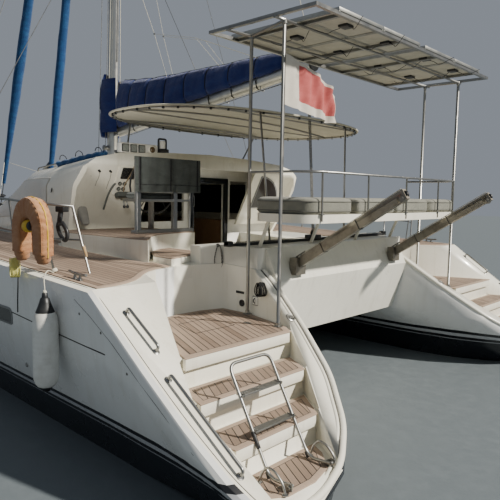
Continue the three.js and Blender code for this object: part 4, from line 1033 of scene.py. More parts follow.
black_tail = smoothed([(-3.520, 3.815, 1.690), (-3.530, 3.835, 1.620), (-3.550, 3.850, 1.500),
                       (-3.565, 3.862, 1.380), (-3.570, 3.866, 1.260)], 6)
loose_line("hanging_tail", black_tail, 0.012, BLACK_ROPE)
print("fender hangs from", tuple(round(value, 2) for value in lanyard[0]))

# %% [markdown]
# The helm is the richest corner of the boat. Instruments are small plates with an inset face: a black
# bezel round a screen. Round gauges are turned, with a dial sunk inside a rim.

# %% Instruments above the helm
SCREEN = moulded("lcd_screen", "window", shade(128, 132, 124), shade(150, 152, 144), 0.15, 30, 0.0001)
DIAL = moulded("gauge_dial", "black_plastic", shade(24, 25, 26), shade(60, 58, 52), 0.2, 60)
COMPASS = moulded("compass_dome", "window", shade(84, 66, 40), shade(120, 100, 60), 0.05, 6, 0.0001)
GREY_BOX = moulded("grey_box", "black_plastic", shade(74, 78, 74), shade(96, 98, 92), 0.5)
POD_FACE, POD_MIDDLE = -2.130, 3.112


def on_aft_face(piece, x, y, z):
    """Stands a flat plate up so that its top looks aft, with its middle at x, y, z."""
    turn = Matrix(((0, 0, -1), (-1, 0, 0), (0, 1, 0))).to_4x4()
    piece.data.transform(Matrix.Translation((x, y, z)) @ turn)
    return piece


for number, y in enumerate((1.618, 1.476, 1.334)):
    display = plate(f"display_{number}", round_rect(0.058, 0.056, 0.008), 0, 0.016, BLACK, 0.003,
                    inlay=[(0.011, SCREEN)])
    on_aft_face(display, POD_FACE, y, POD_MIDDLE)
turned("compass_ring", [(0, 0.062), (0.018, 0.062), (0.024, 0.054), (0.020, 0.046)], CREAM,
       (POD_FACE + 0.002, 1.150, POD_MIDDLE), (-1, 0, 0), 28)
turned("compass_dome", [(0.010, 0.047), (0.026, 0.044), (0.040, 0.032), (0.047, 0.014)], COMPASS,
       (POD_FACE, 1.150, POD_MIDDLE), (-1, 0, 0), 28)
block("pod_ledge", (-2.135, 1.060, 2.986), (-2.080, 1.735, 3.030), CREAM, 0.012)

# %% [markdown]
# The engine panel hangs on the sloping aft wall, so its parts share one slanted frame: right, up along
# the slope, and out of it. A point is given in that frame and turned into its place.

# %% Engine panel and gauges
WALL_LOW, WALL_HIGH = Vector((-1.690, 0, 1.920)), Vector((-2.170, 0, 2.860))
SLOPE = (WALL_HIGH - WALL_LOW).normalized()
WALL_OUT = Vector((-SLOPE.z, 0, SLOPE.x))


def wall_point(y, z, lift=0.0):
    """The point of the sloping aft wall at y and z, lifted off it."""
    share = (z - WALL_LOW.z) / (WALL_HIGH.z - WALL_LOW.z)
    place = WALL_LOW.lerp(WALL_HIGH, share) + WALL_OUT * lift
    return Vector((place.x, y, place.z))


def on_wall(piece, y, z):
    """Lays a flat plate on the sloping aft wall, with its middle at y and z."""
    axes = Matrix((Vector((0, -1, 0)), SLOPE, WALL_OUT)).transposed().to_4x4()
    piece.data.transform(Matrix.Translation(wall_point(y, z)) @ axes)


on_wall(plate("panel_frame", round_rect(0.185, 0.225, 0.03), -0.01, 0.022, CREAM, 0.006), 1.560, 2.640)
on_wall(plate("engine_panel", round_rect(0.135, 0.088, 0.012), 0.020, 0.032, BLACK, 0.003,
              inlay=[(0.010, DIAL)]), 1.550, 2.755)
gauges = [(1.628, 2.765, 0.044), (1.668, 2.610, 0.030), (1.590, 2.610, 0.030), (1.668, 2.535, 0.030),
          (1.590, 2.535, 0.030)]
for number, (y, z, radius) in enumerate(gauges):
    ring = [(0, radius), (0.016, radius), (0.019, radius * 0.86), (0.011, radius * 0.80)]
    turned(f"gauge_{number}", ring, BLACK, wall_point(y, z, 0.020), WALL_OUT, 24)
    face = [(0.010, radius * 0.8), (0.0125, radius * 0.78)]
    turned(f"gauge_face_{number}", face, SCREEN if number else DIAL, wall_point(y, z, 0.020), WALL_OUT, 24)
box_at = wall_point(1.600, 2.470, 0.060)
block("grey_box", box_at - Vector((0.055, 0.105, 0.042)), box_at + Vector((0.045, 0.105, 0.030)), GREY_BOX,
      0.010, lean=(0, 18, 0))
for number, y in enumerate((1.575, 1.520)):
    lever = wall_point(y, 2.380, 0.030)
    tube(f"throttle_{number}", [lever, lever + Vector((-0.06, 0, 0.01)), lever + Vector((-0.085, 0, -0.09))],
         0.010, STEEL, 0.03)
    turned(f"throttle_knob_{number}", [(0, 0.012), (0.010, 0.020), (0.030, 0.022), (0.044, 0.012)], BLACK,
           lever + Vector((-0.085, 0, -0.08)), (0, 0, -1), 16)
print("gauges:", len(gauges))

# %% [markdown]
# Two hooks on the sunlit wall carry short hanging lines, and a grey hose curves down beside the helm.

# %% Hooks, lines and a hose
HOOK = [(0, 0.018), (0.006, 0.018), (0.010, 0.008), (0.028, 0.007), (0.032, 0.014), (0.036, 0.012)]
for number, (y, hangs) in enumerate(((2.045, 0.20), (1.868, 0.24))):
    hook = wall_point(y, 2.770, 0.004)
    turned(f"hook_{number}", HOOK, BLACK, hook, WALL_OUT, 14)
    start = hook + WALL_OUT * 0.020
    sway = [0, 0.2, 0.45, 0.7, 1.0]
    path = smoothed([start + Vector((0.10 * s, -0.012 * math.sin(5 * s), -hangs * s)) for s in sway], 5)
    loose_line(f"hook_line_{number}", path, 0.006, GREY_ROPE)
HOSE = ((1.735, 2.610), (1.770, 2.560), (1.800, 2.470), (1.812, 2.360), (1.815, 2.230))
line("grey_hose", [wall_point(y, z, 0.018) for y, z in HOSE], 0.028, GREY_BOX, sides=12)
cable = [wall_point(1.500, 2.858, 0.02), wall_point(1.530, 2.800, 0.05), wall_point(1.570, 2.700, 0.055),
         wall_point(1.600, 2.600, 0.050), wall_point(1.600, 2.500, 0.075)]
TAN_WEB = cloth("tan_webbing", "beige_canvas", shade(140, 118, 88), shade(170, 150, 118), 0.003)
line("tan_cable", cable, 0.016, TAN_WEB)

# %% A line bag on the outboard wall
bag_at = wall_point(2.150, 2.190, 0.045)
GREY_BAG = cloth("grey_bag", "dark_canvas", shade(112, 110, 104), shade(140, 138, 130))
bag = block("line_bag", bag_at - Vector((0.045, 0.065, 0.18)), bag_at + Vector((0.035, 0.065, 0.15)),
            GREY_BAG, 0.030, lean=(0, 26, 0))
only(bag)
bpy.ops.object.mode_set(mode="EDIT")
bpy.ops.mesh.select_all(action="SELECT")
bpy.ops.mesh.subdivide(number_cuts=3, smoothness=0.4)
bpy.ops.object.mode_set(mode="OBJECT")
for vertex in bag.data.vertices:
    low = max(0.0, bag_at.z - vertex.co.z) / 0.16
    vertex.co.y = bag_at.y + (vertex.co.y - bag_at.y) * (1 - 0.35 * low * low)
    vertex.co.x += 0.012 * math.sin(vertex.co.z * 60 + vertex.co.y * 22)

# %% [markdown]
# A lamp with a black frame stands on the roof's edge beside the pod. The roof also carries the deck
# fittings that make it a sailing boat: winches, clutches, hatches and hand rails.

# %% Lamp on the roof edge
LAMP_X, LAMP_Y = -2.100, 0.930
block("lamp_base", (LAMP_X - 0.06, LAMP_Y - 0.085, 3.030), (LAMP_X + 0.06, LAMP_Y + 0.085, 3.140),
      BLACK, 0.012)
corners = [(LAMP_X, LAMP_Y + s * 0.072, z) for s, z in ((1, 3.135), (1, 3.290), (-1, 3.290), (-1, 3.135))]
tube("lamp_frame", corners, 0.015, BLACK, 0.03)
turned("lamp_glass", [(3.140, 0.040), (3.150, 0.046), (3.250, 0.046), (3.262, 0.034)], WHITE,
       (LAMP_X, LAMP_Y, 0), (0, 0, 1), 20)


# %% Points on the roof
roof = bpy.data.objects["coachroof_skin"]


def on_roof(x, y):
    """The point on the coachroof straight above x and y, and the way that the roof faces there."""
    _, place, normal, _ = roof.ray_cast((x, y, FAR_OUT), (0, 0, -1))
    return place, normal


# %% [markdown]
# A winch is a turned drum: a wide foot, a waisted drum where the line bites, and a self-tailing jaw.

# %% Winches and clutches
WINCH = [(0, 0.070), (0.018, 0.070), (0.026, 0.058), (0.036, 0.052), (0.060, 0.045), (0.090, 0.049),
         (0.104, 0.056), (0.108, 0.068), (0.116, 0.068), (0.120, 0.058), (0.126, 0.058), (0.130, 0.068),
         (0.138, 0.066), (0.144, 0.040), (0.148, 0.022), (0.140, 0.014)]
for number, (x, y) in enumerate(((-1.50, 1.30), (-1.50, -1.30), (-0.20, 0.72), (-0.20, -0.72))):
    place, up = on_roof(x, y)
    turned(f"winch_{number}", WINCH, STEEL, place - up * 0.004, up, 24)
for side, word in SIDES:
    for number in range(3):
        place, up = on_roof(0.06, side * (0.60 + number * 0.055))
        base = block("clutch", place + Vector((-0.11, -0.022, -0.01)), place + Vector((0.09, 0.022, 0.038)),
                     BLACK, 0.008)
        arm = block("clutch", place + Vector((-0.10, -0.014, 0.036)), place + Vector((0.03, 0.014, 0.052)),
                    BLACK, 0.005, lean=(0, -8, 0))
        joined(f"clutch_{word}_{number}", [base, arm])

# %% [markdown]
# A stuffed piece gets its fullness from a real cloth simulation: its block is remeshed into small even
# faces, the cloth solver blows it up from inside for twenty frames with gravity off, and each vertex
# then keeps at most a small part of that move, so that it stays in its place.


# %% Stuffed pieces
PRESSURE, FRAMES = 4.0, 20


def swollen(piece, voxel, cap):
    remeshed(piece, voxel)
    before = [vertex.co.copy() for vertex in piece.data.vertices]
    floor_level = min(place.z for place in before)
    cloth_maker = piece.modifiers.new("swell", "CLOTH")
    cloth_maker.settings.use_pressure = True
    cloth_maker.settings.uniform_pressure_force = PRESSURE
    cloth_maker.settings.effector_weights.gravity = 0
    for number in range(1, FRAMES + 1):
        bpy.context.scene.frame_set(number)
    bpy.ops.object.modifier_apply(modifier="swell")
    for vertex, start in zip(piece.data.vertices, before):
        move = vertex.co - start
        if move.length > cap:
            move *= cap / move.length
        vertex.co = start + move
        vertex.co.z = max(vertex.co.z, floor_level)
    bpy.context.scene.frame_set(1)
    applied(piece, "SMOOTH", iterations=2)
    bpy.ops.object.shade_smooth()


def piped(name, piece, ring, radius, paint):
    """A welt that lies on the piece's own surface all round, near the given ring of points."""
    path = []
    for point in ring:
        _, place, normal, _ = piece.closest_point_on_mesh(Vector(point))
        path.append(place + normal * radius * 0.45)
    return tube(name, path, radius, paint, closed=True, sides=8)


def ring_round(low, high, corner, z, steps=6):
    """A closed ring at height z round a rectangle with round corners."""
    (x0, y0), (x1, y1) = low, high
    shape = round_rect((x1 - x0) / 2, (y1 - y0) / 2, corner, steps)
    return [((x0 + x1) / 2 + x, (y0 + y1) / 2 + y, z) for x, y in shape]


# %% Four cushions on the aft bench
WELT = moulded("welt", "upholstery", shade(92, 92, 86), shade(128, 126, 116), 0.8)
CUSHION_LOW, CUSHION_HIGH = 2.271, 2.436
for number, (inner, outer, corner) in enumerate(((0.006, 0.880, 0.04), (0.892, 1.768, 0.15))):
    shape = [(x, y) for x, y, _ in ring_round((-5.578, inner), (-4.758, outer), corner, 0)]
    pad = plate("pad", shape, CUSHION_LOW, CUSHION_HIGH, CUSHION, 0.030)
    swollen(pad, 0.026, 0.013)
    both = [pad, copied(pad, "pad", MIRROR)]
    welts = []
    for level in (CUSHION_LOW + 0.030, CUSHION_HIGH - 0.028):
        ring = ring_round((-5.60, inner - 0.02), (-4.74, outer + 0.02), corner, level)
        welt = piped("welt", pad, ring, 0.0055, WELT)
        welts.append([welt, copied(welt, "welt", MIRROR)])
    for side, pad in zip(("port", "starboard"), both):
        pad.name = f"aft_cushion_{side}_{number}"
        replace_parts(pad, "aft_cushion")
    for level, (port, starboard) in enumerate(welts):
        port.name = f"aft_welt_port_{number}_{level}"
        starboard.name = f"aft_welt_starboard_{number}_{level}"
print("aft cushions at", CUSHION_LOW, "to", CUSHION_HIGH)

# %% [markdown]
# Each solar panel is a laminate in an aluminium tray. Dark cells with thin silver lines show on top,
# and the pale plastic backsheet shows from below, with cross ribs, junction boxes and sagging cables.

# %% Solar panels
CELL, CELL_GAP, BUS_BARS, BUS_SHARE = 0.158, 0.006, 3, 0.02


def solar_cells():
    paint = Paint("solar_cells", "solar", Coat_Weight=1.0, Coat_Roughness=0.06)
    where = paint.place()
    gaps = None
    for letter in "XY":
        share = (paint.axis(where, letter) / CELL + 0.37).part()
        line_here = (share - 0.5).size() > 0.5 - CELL_GAP / CELL / 2
        gaps = line_here if gaps is None else gaps.math("MAXIMUM", gaps, line_here)
    bus = (paint.axis(where, "Y") / CELL * BUS_BARS + 0.12).part()
    bus = (bus - 0.5).size() > 0.5 - BUS_SHARE
    tone = paint.noise(where, 7, 5)
    dust = paint.ramp(paint.noise(where, 2.5, 6), 0.5, 0.75) * 0.35
    colour = paint.mix(tone, shade(14, 20, 40), shade(26, 34, 62))
    colour = paint.mix(bus * 0.5, colour, shade(150, 154, 160))
    colour = paint.mix(gaps * 0.8, colour, shade(196, 198, 196))
    paint.feed("Base Color", paint.mix(dust, colour, shade(150, 146, 132)))
    paint.feed("Roughness", dust + 0.12)
    return paint.relief(tone, 0.0004, 0.3)


CELLS = solar_cells()
BACKSHEET = moulded("backsheet", "solar", shade(196, 192, 176), shade(160, 156, 138), 0.55, 60, 0.001)
TRAY = metal("tray_alloy", "solar", shade(176, 176, 170), shade(120, 114, 102), 0.32, 0.2)
PANEL_X, PANEL_LOW, PANEL_HIGH = (-5.828, -4.372), 4.221, 4.256
for way, side in SIDES:
    cables = []
    boxes = []
    for number, (y0, y1) in enumerate(((0.062, 0.884), (0.896, 1.718))):
        low, high = sorted((way * y0, way * y1))
        aft, fore = PANEL_X
        outline = [(aft, low), (fore, low), (fore, high), (aft, high)]
        panel = plate(f"panel_{side}_{number}", outline, PANEL_LOW, PANEL_HIGH, TRAY, 0.0015,
                      inlay=[(0.012, CELLS)])
        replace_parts(panel, f"solar_panel_{side}")
        inner = [(x + (0.03 if x < -5 else -0.03), y + (0.03 if y == low else -0.03)) for x, y in outline]
        plate(f"backsheet_{side}_{number}", inner, PANEL_LOW - 0.004, PANEL_LOW + 0.002, BACKSHEET, 0.001)
        middle = (low + high) / 2
        rib_low = PANEL_LOW - 0.012
        ribs = [block("rib", (x - 0.014, low + 0.002, rib_low), (x + 0.014, high - 0.002, PANEL_LOW), TRAY,
                      0.002) for x in (-5.40, -4.80)]
        x = aft + 0.003
        ribs += [block("rib", (x, y - 0.013, rib_low), (x + 1.450, y + 0.013, PANEL_LOW + 0.001), TRAY,
                       0.002)
                 for y in (low + 0.014, high - 0.014)]
        joined(f"panel_ribs_{side}_{number}", ribs)
        for x in (-5.62, -4.98):
            boxes.append(block("box", (x - 0.055, middle - 0.075, PANEL_LOW - 0.030),
                               (x + 0.055, middle + 0.055, PANEL_LOW - 0.002), BLACK, 0.006))
            for end, reach in ((-0.03, -0.28), (0.03, 0.30)):
                start = Vector((x + end, middle, PANEL_LOW - 0.020))
                far = start + Vector((reach, way * 0.16, 0.008))
                sag = (start + far) / 2 - Vector((0, 0, 0.055 + 0.03 * abs(math.sin(x * 9 + reach))))
                path = smoothed([start, start.lerp(sag, 0.6), sag, far], 6)
                cables.append(tube("cable", path, 0.0035, BLACK, sides=6))
    joined(f"junction_boxes_{side}", boxes)
    joined(f"panel_cables_{side}", cables)
print("solar cells of", CELL, "m")

# %% [markdown]
# The ensign is plain: a red field inside a wide white border. It hangs from the aft pole, so gravity
# pulls its fly down in folds. The sheet is a fine grid whose columns fall and swing more the further they
# are from the hoist. The edge of its red field is ragged.


# %% Ensign
def flag_cloth():
    paint = Paint("ensign_cloth", "flag_cloth", Roughness=0.8, Sheen_Weight=0.25)
    where = paint.add("ShaderNodeUVMap", {"uv_map": "cut"})
    run, up = paint.axis(where, "X"), paint.axis(where, "Y")
    ragged = paint.noise(paint.place(), 30, 4) * 0.02
    field = ((run + ragged) > 0.27) * ((run + ragged) < 0.96) * ((up + ragged) > 0.20) * (up < 0.93)
    stain = paint.noise(paint.place((2, 2, 5)), 3, 6)
    red = paint.mix(stain, shade(150, 44, 44), shade(196, 96, 90))
    pale = paint.mix(stain, shade(188, 180, 164), shade(218, 212, 200))
    paint.feed("Base Color", paint.mix(field, pale, red))
    turns = 2 * math.pi / 0.0018
    waves = [row.math("SINE", row) for row in (run * turns * 0.9, up * turns * 0.6)]
    return paint.relief(waves[0] * waves[1] * 0.15 + stain * 2, 0.004, 0.5)


ENSIGN = flag_cloth()
COLUMNS, ROWS = 44, 26
HOIST_X, HOIST_Y, HOIST_TOP, HOIST_DROP, FLY = -5.330, 1.906, 3.872, 0.500, 0.920


def ensign_point(run, up):
    """run is 0 at the hoist and 1 at the fly; up is 0 at the foot and 1 at the head."""
    head = HOIST_TOP - 0.17 * run - 0.13 * run ** 4
    tall = HOIST_DROP * (1 - 0.10 * run - 0.28 * run ** 4)
    y = HOIST_Y - FLY * (run - 0.04 * run ** 3) + 0.03 * (1 - up) * run * math.sin(run * 9)
    z = head - tall * (1 - up) - 0.012 * math.sin(run * 17 + up * 2) * run
    deep = min(1, run * 5) * (0.010 + 0.020 * run ** 3)
    swing = deep * (math.sin(run * 24 + up * 2.6) + 0.5 * math.sin(run * 47 - up * 5))
    return HOIST_X + swing, y, z


ensign = grid(COLUMNS, ROWS)
layer = ensign.data.uv_layers[0]
layer.name = "cut"
for loop in ensign.data.loops:
    flat = ensign.data.vertices[loop.vertex_index].co
    layer.data[loop.index].uv = (flat.x + 0.5, flat.y + 0.5)
for vertex in ensign.data.vertices:
    vertex.co = ensign_point(vertex.co.x + 0.5, vertex.co.y + 0.5)
finished(ensign, "ensign_sheet", ENSIGN, smooth=80)
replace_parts(ensign, "ensign")
area = sum(face.area for face in ensign.data.polygons)
halyard = [(HOIST_X, HOIST_Y, 3.30), (HOIST_X, HOIST_Y - 0.004, 3.60), (HOIST_X, HOIST_Y, 3.93)]
line("ensign_halyard", halyard, 0.006, PALE_ROPE, sides=6)
print("ensign area", round(area, 3), "of", FLY * HOIST_DROP)

# %% [markdown]
# Round flanges stand under the poles and rail posts. The davits carry their tackles: a sheave in the
# nose of each arm, and a taut fall that runs back along its top to a cleat.

# %% Flanges, sheaves and tackles
POLES = ((-4.690, 1.720), (-5.330, 1.930), (-4.910, -1.960), (-5.410, -2.010))
POLE_FLANGE = [(1.108, 0.052), (1.116, 0.052), (1.121, 0.044), (1.124, 0.026), (1.150, 0.0245),
               (1.152, 0.0215)]
COLLAR = [(4.140, 0.0225), (4.145, 0.027), (4.175, 0.027), (4.180, 0.0225)]
RAIL_FLANGE = [(2.268, 0.032), (2.276, 0.032), (2.280, 0.024), (2.282, 0.018)]
for number, (x, y) in enumerate(POLES):
    turned(f"pole_flange_{number}", POLE_FLANGE, STEEL, (x, y, 0), steps=26)
    turned(f"pole_collar_{number}", COLLAR, STEEL, (x, y, 0), steps=22)
for y in (1.590, 0.700, -0.200, -1.100, -1.590):
    turned(f"rail_flange_{int(y * 100)}", RAIL_FLANGE, STEEL, (-5.595, y, 0))
SHEAVE = even((0.022, 0.030), (0.018, 0.042), (0, 0.030))
BAND = ((0.058, 0.038), (0.058, -0.038), (-0.058, -0.038), (-0.058, 0.038))
for side, name in SIDES:
    foot, tip = Vector((-4.880, side * 1.130, 1.625)), Vector((-6.290, side * 1.130, 2.500))
    along = (tip - foot).normalized()
    above = Vector((along.z, 0, -along.x))
    turned(f"davit_sheave_{name}", SHEAVE, BLACK, tip - along * 0.02, (0, 1, 0), 22)
    fall = [foot.lerp(tip, share) + above * 0.072 for share in (0.10, 0.4, 0.75, 0.985)]
    line(f"davit_fall_{name}", fall, 0.010, PALE_ROPE, steps=4)
    cleat_at = foot.lerp(tip, 0.10) + above * 0.056
    post = turned("cleat", [(0, 0.016), (0.020, 0.011), (0.026, 0.012)], STEEL, cleat_at, above, 14)
    ends = [cleat_at + above * 0.026 + along * (s * 0.075) for s in (-1, 1)]
    joined(f"davit_cleat_{name}", [post, tube("horn", ends, 0.009, STEEL, sides=10)])
    for number, share in enumerate((0.30, 0.62)):
        at = foot.lerp(tip, share)
        route = [at + above * a + Vector((0, b, 0)) for a, b in BAND]
        tube(f"davit_band_{name}_{number}", route, 0.0045, BLACK, 0.01, closed=True, sides=8)

# %% [markdown]
# The traveller is a black track with sliding stops at its ends and a car amidships. The mainsheet climbs
# from the car to the boom, and rides on no body.

# %% Traveller and mainsheet
TRACK_X = -4.395
for side, name in SIDES:
    low, high = sorted((side * 1.70, side * 1.78))
    block(f"traveller_stop_{name}", (-4.432, low, 1.866), (-4.356, high, 1.925), BLACK, 0.010)
    control = [(TRACK_X, side * 1.72, 1.905), (TRACK_X, side * 0.95, 1.902),
               (TRACK_X, side * 0.18 + 0.12, 1.908)]
    line(f"traveller_line_{name}", control, 0.009, FLECKED_ROPE, steps=3)
CAR_BLOCK = even((0.020, 0.030), (0.016, 0.040), (0, 0.034))
BOOM_BLOCK = even((0.026, 0.034), (0.020, 0.048), (0, 0.040))
turned("car_block", CAR_BLOCK, BLACK, (TRACK_X, 0.12, 1.965), (1, 0, 0))
SHEET_LOW, SHEET_HIGH = Vector((TRACK_X, 0.12, 1.985)), Vector((-4.150, 0.0, 4.120))


def across_joint(piece):
    """Takes the piece off its body and bakes its place into its mesh."""
    piece.parent = None
    del piece["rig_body"]
    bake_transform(piece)


falls = []
for across in (-0.022, 0.0, 0.022):
    shift = Vector((0, across, 0))
    steps = [SHEET_LOW.lerp(SHEET_HIGH, share / 24) + shift for share in range(25)]
    falls.append(tube("fall", steps, 0.006, FLECKED_ROPE, sides=8))
across_joint(joined("mainsheet", falls))
turned("boom_block", BOOM_BLOCK, BLACK, SHEET_HIGH + Vector((0, 0, 0.01)), (0, 1, 0), body="boom")
print("mainsheet is", round((SHEET_HIGH - SHEET_LOW).length, 2), "m from car to boom")

# %% [markdown]
# The mainsail lies stowed on its boom under a blue cover. Cover and sail bulge between the lashings, and
# the cloth hangs in long slanting folds. The folds are put in by displacement: each vertex of a finely
# remeshed copy of the solid moves along its normal by a height that is a function of its place.


# %% Soft skins
def soft_skin(node, name, paint, voxel, push, body):
    """A remeshed copy of a soft solid whose vertices are moved along their normals by push(place)."""
    piece = merged_copy(node, name, dissolve=False)
    remeshed(piece, voxel)
    applied(piece, "SMOOTH", iterations=5)
    moves = [vertex.normal * push(vertex.co) for vertex in piece.data.vertices]
    for vertex, move in zip(piece.data.vertices, moves):
        vertex.co += move
    finished(piece, name, paint, body, 180)
    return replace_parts(piece, node)


def fold(value, sharp=2.0):
    """A crease: flat for most of its length, with a narrow valley once a turn."""
    return -(abs(math.cos(value)) ** sharp)


def rope_pull(place, stations, width):
    """How much the lashings at these x stations pull the cloth in, from 0 to 1."""
    return max(math.exp(-((place.x - x) / width) ** 2) for x in stations)


LASHINGS = [-3.75 + 0.52 * number for number in range(8)]


def cover_push(place):
    lean = place.x * 1.0 + (place.z - 4.2) * 0.32
    folds = 0.008 * fold(lean * 5.2, 8) + 0.004 * fold(lean * 11.7 + 1.1, 6)
    sag = 0.007 * math.sin(place.z * 9 + place.x * 2.1) * math.sin(place.x * 4.1)
    return folds + sag + 0.008 - 0.015 * rope_pull(place, LASHINGS, 0.03)


def front_push(place):
    turn = math.atan2(place.y, place.x - 0.72)
    folds = 0.010 * fold(turn * 4.5 + place.z * 1.3, 5) + 0.006 * fold(turn * 9 - place.z * 2.2, 5)
    return folds + 0.008 * math.sin(place.z * 9) - 0.014 * math.exp(-((place.z - 4.05) / 0.05) ** 2)


cover = soft_skin("sail_cover", "sail_cover_cloth", BLUE, 0.028, cover_push, "boom")
front = soft_skin("sail_cover_front", "sail_cover_front_cloth", BLUE, 0.024, front_push, "root")
print("sail cover faces:", len(cover.data.polygons))


# %% Lashings round boom and cover
def boom_low(x):
    return 3.560 + 0.13 * (0.470 - x)


def hoop_round(piece, x, middle_z, lift, low, count=22):
    """Points round a piece in the plane of one x and above low, found by casting rays inwards."""
    points = []
    for number in range(count):
        angle = 2 * math.pi * number / count
        out = Vector((0, math.cos(angle), math.sin(angle)))
        hit, place, _, _ = piece.ray_cast(Vector((x, 0, middle_z)) + out * 1.2, -out)
        if hit and place.z >= low:
            points.append(place + out * lift)
    return points


UNDER_BOOM = ((0.080, 0.10), (0.055, 0.012), (0.0, -0.012), (-0.055, 0.012), (-0.080, 0.10))
lashings = []
for x in LASHINGS:
    around = hoop_round(cover, x, boom_low(x) + 0.42, 0.004, boom_low(x) + 0.17)
    around.sort(key=lambda place: math.atan2(place.y, place.z - boom_low(x) - 0.3))
    under = [Vector((x, y, boom_low(x) + z)) for y, z in UNDER_BOOM]
    lashings.append(tube("lashing", around + under, 0.0075, BLACK_ROPE, body="boom", closed=True, sides=6))
joined("cover_lashings", lashings)
ridge = []
for number in range(33):
    x = -3.95 + number * 4.2 / 32
    _, place, _, _ = cover.ray_cast((x, 0, 6.5), (0, 0, -1))
    ridge.append(place + Vector((0, 0, 0.004)))
tube("cover_zip", ridge, 0.010, DARK, body="boom", sides=8)
straps = []
for z in (3.72, 4.05, 4.42):
    points = []
    for number in range(17):
        angle = math.radians(-68 + 136 * number / 16)
        out = Vector((math.cos(angle), 0.82 * math.sin(angle), 0)).normalized()
        hit, place, _, _ = front.ray_cast(Vector((0.70, 0, z)) + out * 1.5, -out)
        if hit:
            points.append(place + out * 0.003)
    straps.append(tube("strap", points, 0.008, BLACK_ROPE, sides=6))
joined("front_straps", straps)
print("lashings:", len(LASHINGS), "front straps:", len(straps))

# %% [markdown]
# A flap of the same cloth closes each side of the mast. Its fore edge lies on the front cover and its aft
# edge on the boom's cover, and it rides on no body.

# %% Flaps beside the mast
FLAP_FORE, FLAP_AFT = 0.800, 0.355


def beside(piece, x, z, side):
    hit, place, _, _ = piece.ray_cast((x, side * 2.0, z), (0, -side, 0))
    return place.y if hit else None


for side, word in SIDES:
    flap = grid(18, 36)
    for vertex in flap.data.vertices:
        run, up = vertex.co.x + 0.5, vertex.co.y + 0.5
        z = 3.640 + 1.010 * up
        fore = beside(front, FLAP_FORE, z, side) or side * 0.16
        aft = beside(cover, FLAP_AFT, min(max(z, 3.80), 4.20), side) or side * 0.12
        x = FLAP_FORE + (FLAP_AFT - FLAP_FORE) * run
        y = fore + (aft - fore) * run + side * (0.006 + 0.030 * math.sin(math.pi * run))
        y += side * 0.007 * math.sin(z * 21 + run * 4) * math.sin(math.pi * run)
        vertex.co = (x, y, z + 0.02 * (1 - run) * up)
    finished(flap, f"cover_flap_{word}", BLUE, smooth=80)
    flap_area = sum(face.area for face in flap.data.polygons)
    across_joint(flap)
print("flap area", round(flap_area, 3), "of", round(0.48 * 1.03, 3))

# %% [markdown]
# Under the boom run the reefing lines, and its end carries a cap. Lazy jacks come down from the mast on each
# side and part into legs. They are taut rigging. Their upper parts cross the boom's joint and ride on no
# body, while the legs ride on the boom. The feet of the legs end inside the sail cover. The topping lift
# starts close to the axis that the boom turns about, and it also rides on no body.


# %% Boom gear, lazy jacks and topping lift
def taut(name, start, end, thick, paint, steps=20):
    path = [Vector(start).lerp(Vector(end), share / steps) for share in range(steps + 1)]
    return tube(name, path, thick / 2, paint, sides=6)


for number, (y, below) in enumerate(((0.034, 0.016), (-0.034, 0.016), (0.0, 0.030))):
    along = [(x, y, boom_low(x) - below - 0.010 * math.sin(x * 2.6 + number) ** 2)
             for x in (0.20, -0.6, -1.4, -2.2, -3.0, -3.8, -4.18)]
    line(f"reef_line_{number}", along, 0.009, FLECKED_ROPE if number else PALE_ROPE, "boom", 3, 6)
end_ring = [(0, 0.100), (0.012, 0.104), (0.030, 0.100), (0.040, 0.070)]
turned("boom_cap", end_ring, BLACK, (-4.226, 0, boom_low(-4.226) + 0.095), (-1, 0, 0), 24, "boom")
BAIL = ((0.045, 0.02), (0.040, -0.045), (-0.040, -0.045), (-0.045, 0.02))
for number, x in enumerate((-4.02, -3.30, -2.55)):
    bail = [(x, y, boom_low(x) + z) for y, z in BAIL]
    tube(f"boom_bail_{number}", bail, 0.006, STEEL, 0.02, "boom")

for side, name in SIDES:
    node, lower_node = Vector((-0.80, side * 0.10, 5.26)), Vector((-1.9, side * 0.10, 5.0))
    top = Vector((0.520, side * 0.42, 8.46))
    across_joint(taut(f"lazy_jack_upper_{name}", top, node, 0.007, PALE_ROPE))
    turned(f"lazy_jack_ring_{name}", even((0.012, 0.012), (0, 0.020)), STEEL, node, (0, 1, 0), 12, "boom")
    legs = [taut("leg", node, lower_node, 0.006, PALE_ROPE, 4)]
    for start, foot_x, lift in ((node, -1.16, 0.62), (lower_node, -2.55, 0.42), (lower_node, -3.55, 0.28)):
        foot = (foot_x, side * 0.07, boom_low(foot_x) + lift)
        legs.append(taut("leg", start, foot, 0.006, PALE_ROPE, 4))
    for leg in legs:
        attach(leg, "boom")
    joined(f"lazy_jack_{name}", legs)
masthead = Vector((0.195, 0.0, 18.40))
boom_end = Vector((-4.215, 0, boom_low(-4.215) + 0.21))
lift = taut("topping_lift", masthead, boom_end, 0.009, PALE_ROPE, 40)
across_joint(lift)


# %% [markdown]
# On the mast: halyards close beside the tube, a track up its aft face, winches near the foot, a steaming
# light, and a small aerial and wind vane at the truck. The spreaders carry wrapped ends.

# %% Mast gear
def mast_x(z):
    return 0.717 - 0.033 * (z - 2.93)


